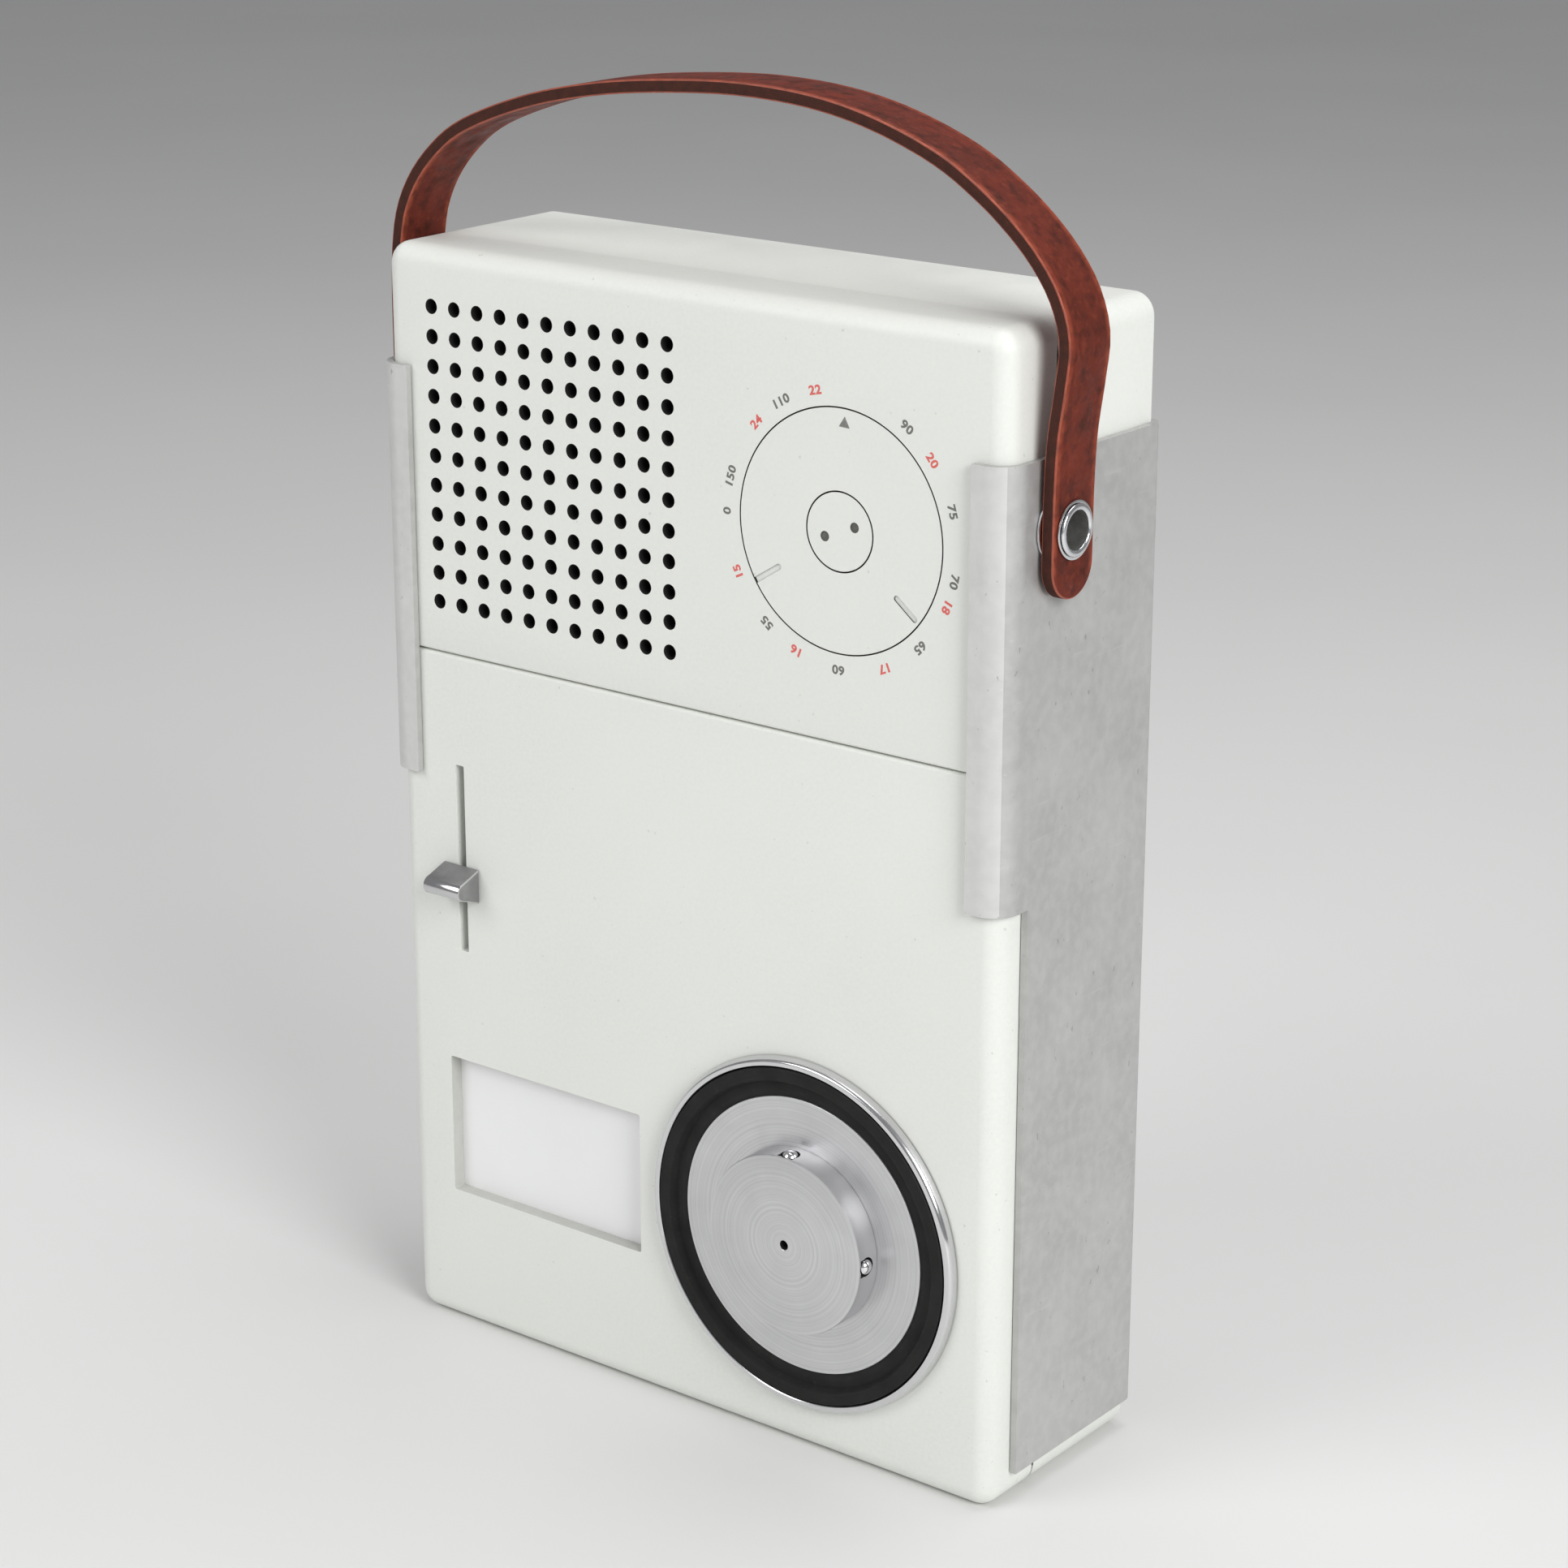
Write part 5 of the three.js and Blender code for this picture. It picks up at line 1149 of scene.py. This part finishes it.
bores = bmesh.new()
for start, stop in ((plate_low.x - OVERCUT, BORE_DEPTH - HALF), (HALF - BORE_DEPTH, plate_high.x + OVERCUT)):
    rod(bores, EYELET_BORE, (start, EYELET_Y, EYELET_Z), (stop, EYELET_Y, EYELET_Z), 48)
screw_places = []
for name in ("carrier_screw_1", "carrier_screw_2"):
    screw_low, screw_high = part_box(name)
    x, z = (screw_low.x + screw_high.x) / 2, (screw_low.z + screw_high.z) / 2
    screw_places.append((x, z))
    rod_through(bores, SHAFT_BORE, x, z, BACK - OVERCUT, plate_high.y + OVERCUT, 32)
combine(carrier, bores, "DIFFERENCE")
sinks = bmesh.new()
for x, z in screw_places:
    place = Matrix.Translation((x, plate_high.y - COUNTERSINK / 2, z)) @ Matrix.Rotation(-math.pi / 2, 4, "X")
    grow = (SCREW_HEAD - SHAFT_BORE) * 1.2
    bmesh.ops.create_cone(
        sinks,
        cap_ends=True,
        segments=32,
        radius1=SCREW_HEAD + 0.2 * MM - grow,
        radius2=SCREW_HEAD + 0.2 * MM + grow * 0.2,
        depth=COUNTERSINK * 1.2,
        matrix=place,
    )
combine(carrier, sinks, "DIFFERENCE")
# The front-facing faces of the lips get the paler sheet, as painted light.
paint(carrier, lip_sheet_painted_light, lambda spot, normal: spot.y < FRONT and normal.y < -0.7)
soften(carrier, SHEET_EDGE)
fit(carrier, "case", "aluminium", "carrier_sheet")


# --- Leather strap ---
# A band of thick red-brown leather, cut with rounded ends and punched for the eyelets. Its edges are
# skived to a bevel coloured bright red-orange, partly the edge's own colour and partly a painted highlight
# of the light that the bevels catch, with the dark core showing between the two bevels.
STRAP_RISE = 74.1 * MM
STRAP_THICK = 2.6 * MM
STRAP_TAIL_END = 13.05 * MM
STRAP_BEVEL = 0.3 * MM
STATION = 2.5 * MM
CURVE_STEPS = 24
strap_half = (strap_high.y - strap_low.y) / 2
STRAP_LEG = 80.15 * MM
# Course of the strap: x as a share of the leg's distance, z as a share of the rise.
STRAP_COURSE = [
    (-1, -0.178),
    (-1, 0),
    (-1.001, 0.22),
    (-1, 0.36),
    (-0.992, 0.487),
    (-0.973, 0.58),
    (-0.927, 0.672),
    (-0.853, 0.757),
    (-0.772, 0.818),
    (-0.558, 0.906),
    (-0.326, 0.961),
    (-0.087, 0.99),
    (0.131, 1),
    (0.342, 0.985),
    (0.514, 0.946),
    (0.684, 0.879),
    (0.779, 0.82),
    (0.866, 0.752),
    (0.947, 0.669),
    (1.005, 0.579),
    (1.033, 0.479),
    (1.023, 0.359),
    (1.007, 0.236),
    (1.001, 0.1),
    (1, 0),
    (1, -0.178),
]


def smooth_course(points):
    """Points close together on the centripetal curve through the given ones."""
    ends = [2 * points[0] - points[1], *points, 2 * points[-1] - points[-2]]
    course = []
    for before, start, stop, after in zip(ends, ends[1:], ends[2:], ends[3:]):
        legs = (start - before, stop - start, after - stop)
        gap0, gap1, gap2 = (math.sqrt(np.linalg.norm(leg)) for leg in legs)
        lead = gap1 * ((start - before) / gap0 - (stop - before) / (gap0 + gap1) + (stop - start) / gap1)
        trail = gap1 * ((stop - start) / gap1 - (after - start) / (gap1 + gap2) + (after - stop) / gap2)
        for step in range(CURVE_STEPS):
            t = step / CURVE_STEPS
            course.append(
                (2 * t**3 - 3 * t**2 + 1) * start
                + (t**3 - 2 * t**2 + t) * lead
                + (3 * t**2 - 2 * t**3) * stop
                + (t**3 - t**2) * trail
            )
    course.append(points[-1])
    return np.array(course)


course = smooth_course([np.array((x * STRAP_LEG, EYELET_Z + z * STRAP_RISE)) for x, z in STRAP_COURSE])
lengths = np.concatenate(([0], np.cumsum(np.linalg.norm(np.diff(course, axis=0), axis=1))))
heading = np.gradient(course, lengths, axis=0)
heading /= np.linalg.norm(heading, axis=1, keepdims=True)
pivot_at = -STRAP_COURSE[0][1] * STRAP_RISE
strap_length = lengths[-1]
strap_ends = (pivot_at - STRAP_TAIL_END, strap_length - pivot_at + STRAP_TAIL_END)

waxed_leather = new_finish("waxed_leather", (0.165, 0.030, 0.018), 0.55)
shader_of(waxed_leather).inputs["Specular IOR Level"].default_value = 0.12
patches(waxed_leather, 0.009, 0.8, (0.080, 0.018, 0.012), detail=5, source="UV")
patches(waxed_leather, 0.0015, 0.45, (0.24, 0.050, 0.028), detail=3, start=0.52, stop=0.75, source="UV")
patches(waxed_leather, 0.0028, 0.6, (0.035, 0.012, 0.009), detail=6, start=0.48, stop=0.68, source="UV")
uneven_gloss(waxed_leather, 0.004, 0.45, 0.7, source="UV")
grain(waxed_leather, 0.0007, 0.06 * MM, detail=3, source="UV")
grain(waxed_leather, 0.006, 0.25 * MM, detail=2, source="UV")


def worn_borders(finish, start, stop, patch, colour):
    """Wears a band's long borders brighter; start and stop are distances from its middle line."""
    nodes = finish.node_tree.nodes
    wire = finish.node_tree.links.new
    place = nodes.new("ShaderNodeTexCoord")
    split = nodes.new("ShaderNodeSeparateXYZ")
    distance = nodes.new("ShaderNodeMath")
    distance.operation = "ABSOLUTE"
    share = nodes.new("ShaderNodeMath")
    share.operation = "MULTIPLY"
    wire(place.outputs["UV"], split.inputs["Vector"])
    wire(split.outputs["Y"], distance.inputs[0])
    wire(between(finish, distance.outputs["Value"], 0, 1, start, stop), share.inputs[0])
    wire(between(finish, clouds(finish, patch, 4, source="UV"), 0.2, 1, 0.35, 0.6), share.inputs[1])
    tint(finish, share.outputs["Value"], colour)


worn_borders(waxed_leather, 4.9 * MM, 6.5 * MM, 2.5 * MM, (0.36, 0.075, 0.038))
# Partly painted highlight: the bevels' brighter red-orange stands in partly for the light that the chamfers
# catch.
skived_edge_highlight = new_finish("skived_edge_highlight", (0.40, 0.085, 0.042), 0.45)
patches(skived_edge_highlight, 0.003, 0.85, (0.19, 0.040, 0.024), detail=4, source="UV")
grain(skived_edge_highlight, 0.0006, 0.04 * MM, detail=3, source="UV")
dark_core = new_finish("dark_core", (0.050, 0.020, 0.015), 0.8)
shader_of(dark_core).inputs["Specular IOR Level"].default_value = 0.15
patches(dark_core, 0.002, 0.7, (0.085, 0.026, 0.018), detail=4, source="UV")
grain(dark_core, 0.0005, 0.08 * MM, detail=4, source="UV")

half_thick = STRAP_THICK / 2
band = cuboid((strap_ends[0], -strap_half, -half_thick), (strap_ends[1], strap_half, half_thick))
round_off(band, edges_along(band, 2), strap_half - 0.02 * MM, 14)
flat_band = piece_from(band, "leather_band", waxed_leather, skived_edge_highlight, dark_core)
punches = bmesh.new()
for u in (pivot_at, strap_length - pivot_at):
    rod(punches, EYELET_BORE, (u, 0, -STRAP_THICK), (u, 0, STRAP_THICK), 48)
combine(flat_band, punches, "DIFFERENCE")
band = bmesh.new()
band.from_mesh(flat_band.data)
for index in range(1, int(strap_length / STATION)):
    cut_across(band, (index * STATION, 0, 0), (1, 0, 0))


def at_punch(edge):
    middle = (edge.verts[0].co + edge.verts[1].co) / 2
    reach = min(middle.x, strap_length - middle.x)
    return math.hypot(reach - pivot_at, middle.y) < EYELET_BORE + 0.1 * MM


rims = [edge for edge in sharp_edges(band.edges, 60) if not at_punch(edge)]
round_off(band, rims, STRAP_BEVEL, 3)
bmesh.ops.recalc_face_normals(band, faces=band.faces)
flow = band.loops.layers.uv.new("flow")
for face in band.faces:
    tilt = abs(face.normal.z)
    # Bevel faces get the brighter edge colour, partly a painted highlight.
    face.material_index = 0 if tilt > 0.97 else (1 if tilt > 0.1 else 2)
    for loop in face.loops:
        spot = loop.vert.co
        loop[flow].uv = (spot.x, spot.z if face.material_index == 2 else spot.y)
for vert in band.verts:
    u, v, w = vert.co
    x = np.interp(u, lengths, course[:, 0])
    z = np.interp(u, lengths, course[:, 1])
    along_x = np.interp(u, lengths, heading[:, 0])
    along_z = np.interp(u, lengths, heading[:, 1])
    vert.co = (x - along_z * w, EYELET_Y + v, z + along_x * w)
band.to_mesh(flat_band.data)
band.free()
flat_band.data.shade_smooth()
flat_band.data.set_sharp_from_angle(angle=math.radians(50))
fit(flat_band, "strap", "leather", "leather_strap")


# --- Eyelets and washers ---
# Chromed brass cups pass through the plate and the strap, and their rims are rolled over outside.
# A flanged ring keeps the strap off the plate, and a thin washer lies on the leather.
CUP_TUBE = 4.2 * MM
CUP_WALL = 0.5 * MM
CUP_FLOOR = 0.6 * MM
RIM_CENTRE = 4.36 * MM
RIM_REACH = 0.64 * MM
RIM_RISE = 0.45 * MM
ROLL_STEPS = 10

eyelet_chrome = new_finish("eyelet_chrome", (0.78, 0.79, 0.81), 0.15, 1.0)
patches(eyelet_chrome, 0.002, 0.5, (0.60, 0.61, 0.63), detail=3)
uneven_gloss(eyelet_chrome, 0.0015, 0.1, 0.3)
# Painted shade: a dark grey metal for the inside of each cup, standing in for the chrome in shade.
cup_inside_shade = new_finish("cup_inside_shade", (0.24, 0.24, 0.23), 0.5, 0.6)
patches(cup_inside_shade, 0.0015, 0.7, (0.13, 0.13, 0.13), detail=3)
for side, label in ((1, "right"), (-1, "left")):
    cup_low, cup_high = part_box(f"eyelet_{label}")
    ring_low, ring_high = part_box(f"spacer_washer_{label}")
    disc_low, disc_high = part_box(f"strap_washer_{label}")
    inner_x, outer_x = sorted((abs(cup_low.x), abs(cup_high.x)))
    roll_x = outer_x - RIM_RISE
    roll = [
        (
            RIM_CENTRE + RIM_REACH * math.cos(step * math.pi / ROLL_STEPS),
            roll_x + RIM_RISE * math.sin(step * math.pi / ROLL_STEPS),
        )
        for step in range(ROLL_STEPS + 1)
    ]
    cup_outline = [
        (0, inner_x),
        (CUP_TUBE, inner_x),
        (CUP_TUBE, roll_x),
        *roll,
        (CUP_TUBE - CUP_WALL, inner_x + CUP_FLOOR),
        (0, inner_x + CUP_FLOOR),
    ]
    axis = (side, 0, 0)
    pivot = (0, EYELET_Y, EYELET_Z)
    cup = turned(f"eyelet_cup_{label}", cup_outline, pivot, axis, (0, 0, 1), 64, eyelet_chrome, cup_inside_shade)


    def in_cup(spot, normal):
        within_tube = math.hypot(spot.y - EYELET_Y, spot.z - EYELET_Z) < CUP_TUBE - CUP_WALL + SKIN
        return within_tube and inner_x + NEAR < abs(spot.x) < roll_x - NEAR

    # The inside of the cup gets the dark grey metal, as painted shade.
    paint(cup, cup_inside_shade, in_cup)
    fit(cup, "case", "chrome", f"eyelet_{label}")
    for name, box_low, box_high, body, node in (
        ("spacer_ring", ring_low, ring_high, "case", "spacer_washer"),
        ("thin_washer", disc_low, disc_high, "strap", "strap_washer"),
    ):
        near, far = sorted((abs(box_low.x), abs(box_high.x)))
        rim = (box_high.z - box_low.z) / 2
        washer_outline = [(EYELET_BORE, near), (rim, near), (rim, far), (EYELET_BORE, far)]
        washer = turned(
            f"{name}_{label}", washer_outline, pivot, axis, (0, 0, 1), 64, eyelet_chrome, edge=0.1 * MM
        )
        fit(washer, body, "chrome", f"{node}_{label}")


# --- Screws ---
# Plain steel screws with a sawn slot. Four hold the case halves together and sit deep in their bosses;
# two countersunk ones hold the carrier's back, flush with the sheet.
SCREW_SHAFT = 1.4 * MM
SAW_WIDTH = 0.8 * MM
SAW_DEPTH = 0.6 * MM
CASE_HEAD = 1.6 * MM

screw_steel = new_finish("screw_steel", (0.45, 0.455, 0.465), 0.35, 1.0)
patches(screw_steel, 0.0015, 0.7, (0.28, 0.28, 0.29), detail=4)
uneven_gloss(screw_steel, 0.001, 0.25, 0.5)


def slotted_screw(name, node, cone, saw_turn):
    low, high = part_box(node)
    x, z = (low.x + high.x) / 2, (low.z + high.z) / 2
    head_start = high.y - (0.1 * MM if cone else CASE_HEAD)
    neck = high.y - (COUNTERSINK if cone else CASE_HEAD)
    outline = [
        (0, low.y - FRONT),
        (SCREW_SHAFT - 0.4 * MM, low.y - FRONT),
        (SCREW_SHAFT, low.y - FRONT + 0.6 * MM),
        (SCREW_SHAFT, neck - FRONT),
        (SCREW_HEAD, head_start - FRONT),
        (SCREW_HEAD, high.y - FRONT),
        (0, high.y - FRONT),
    ]
    screw = turned_on_front(name, outline, x, z, 40, screw_steel)
    reach = SCREW_HEAD + OVERCUT
    saw = cuboid((-reach, -SAW_DEPTH, -SAW_WIDTH / 2), (reach, OVERCUT, SAW_WIDTH / 2))
    turn = Matrix.Rotation(math.radians(saw_turn), 4, "Y")
    bmesh.ops.transform(saw, matrix=Matrix.Translation((x, high.y, z)) @ turn, verts=saw.verts)
    combine(screw, saw, "DIFFERENCE")
    soften(screw, FINE_EDGE)
    fit(screw, "case", "steel", node)


slotted_screw("back_screw_left", "carrier_screw_1", True, 25)
slotted_screw("back_screw_right", "carrier_screw_2", True, 70)
for index, (unit, number) in enumerate((("radio", 1), ("radio", 2), ("player", 1), ("player", 2))):
    slotted_screw(f"{unit}_deep_screw_{number}", f"{unit}_case_screw_{number}", False, 20 + 50 * index)


# --- Works inside both units ---
# Speaker, radio chassis parts, batteries, motor drive and pickup sit behind the walls. They are plain
# stampings, turnings and moulded parts, and little of them shows through the openings.
def plain_finish(name, colour, other, patch, gloss, metal=0.0):
    """A simple worn finish: two colours in patches, with uneven gloss and a light grain."""
    finish = new_finish(name, colour, gloss[0], metal)
    patches(finish, patch, 0.8, other)
    uneven_gloss(finish, patch / 3, *gloss)
    grain(finish, patch / 10, 0.01 * MM)
    return finish


speaker_weave = new_finish("speaker_weave", (0.006, 0.006, 0.006), 0.95)
warp = clouds(speaker_weave, 0.0004, 0, stretch=(1, 1, 0.1))
weft = clouds(speaker_weave, 0.0004, 0, stretch=(0.1, 1, 1))
tint(speaker_weave, between(speaker_weave, warp, 0, 0.5), (0.014, 0.014, 0.014))
relief(speaker_weave, warp, 0.06 * MM)
relief(speaker_weave, weft, 0.06 * MM)


def clad(finish, *nodes):
    """Gives a finish to plain solids that are kept as they are."""
    for node in nodes:
        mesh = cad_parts[node].data
        mesh.materials.clear()
        mesh.materials.append(finish)


clad(speaker_weave, "speaker_cloth")
zinc = plain_finish("zinc_plate", (0.50, 0.51, 0.52), (0.38, 0.39, 0.40), 0.006, (0.35, 0.55), 0.9)
clad(zinc, "volume_control", "tuning_capacitor", "player_chassis")
clad(zinc, "motor", "pickup_arm", "slide_carriage")
dark_stamping = plain_finish(
    "dark_stamping", (0.16, 0.165, 0.17), (0.10, 0.10, 0.11), 0.006, (0.4, 0.6), 0.8
)
clad(dark_stamping, "speaker_frame", "speaker_magnet")
turned_brass = plain_finish("turned_brass", (0.55, 0.40, 0.17), (0.42, 0.29, 0.12), 0.004, (0.25, 0.4), 1.0)
clad(turned_brass, "bearing_sleeve", "motor_pulley")
black_moulding = plain_finish("black_moulding", (0.02, 0.02, 0.02), (0.03, 0.03, 0.03), 0.005, (0.45, 0.6))
clad(black_moulding, "link_plug", "pickup_cartridge")
cone_paper = plain_finish("cone_paper", (0.018, 0.017, 0.016), (0.035, 0.033, 0.03), 0.002, (0.85, 0.98))
clad(cone_paper, "speaker_cone")
cream_moulding = plain_finish("cream_moulding", (0.66, 0.56, 0.36), (0.58, 0.48, 0.30), 0.01, (0.4, 0.55))
clad(cream_moulding, "tuning_drum", "drive_wheel")
board_laminate = plain_finish("board_laminate", (0.24, 0.13, 0.035), (0.17, 0.09, 0.025), 0.004, (0.4, 0.6))
clad(board_laminate, "radio_circuit_board")
ferrite_black = plain_finish(
    "ferrite_black", (0.025, 0.025, 0.028), (0.04, 0.04, 0.043), 0.002, (0.5, 0.75)
)
clad(ferrite_black, "ferrite_rod")
cell_paper = plain_finish("cell_paper", (0.05, 0.065, 0.09), (0.035, 0.045, 0.065), 0.015, (0.35, 0.5))
clad(cell_paper, "radio_battery", "player_cell_1", "player_cell_2")
belt_rubber = plain_finish("belt_rubber", (0.015, 0.015, 0.015), (0.025, 0.025, 0.025), 0.003, (0.7, 0.85))
clad(belt_rubber, "drive_belt")
copper_winding = plain_finish(
    "copper_winding", (0.42, 0.16, 0.06), (0.30, 0.11, 0.045), 0.001, (0.3, 0.45), 0.9
)
clad(copper_winding, "aerial_coil")
spindle_polish = plain_finish(
    "spindle_polish", (0.75, 0.75, 0.77), (0.62, 0.62, 0.64), 0.003, (0.1, 0.25), 1.0
)
clad(spindle_polish, "spindle", "stylus")
clad(screw_steel, "pickup_pivot")
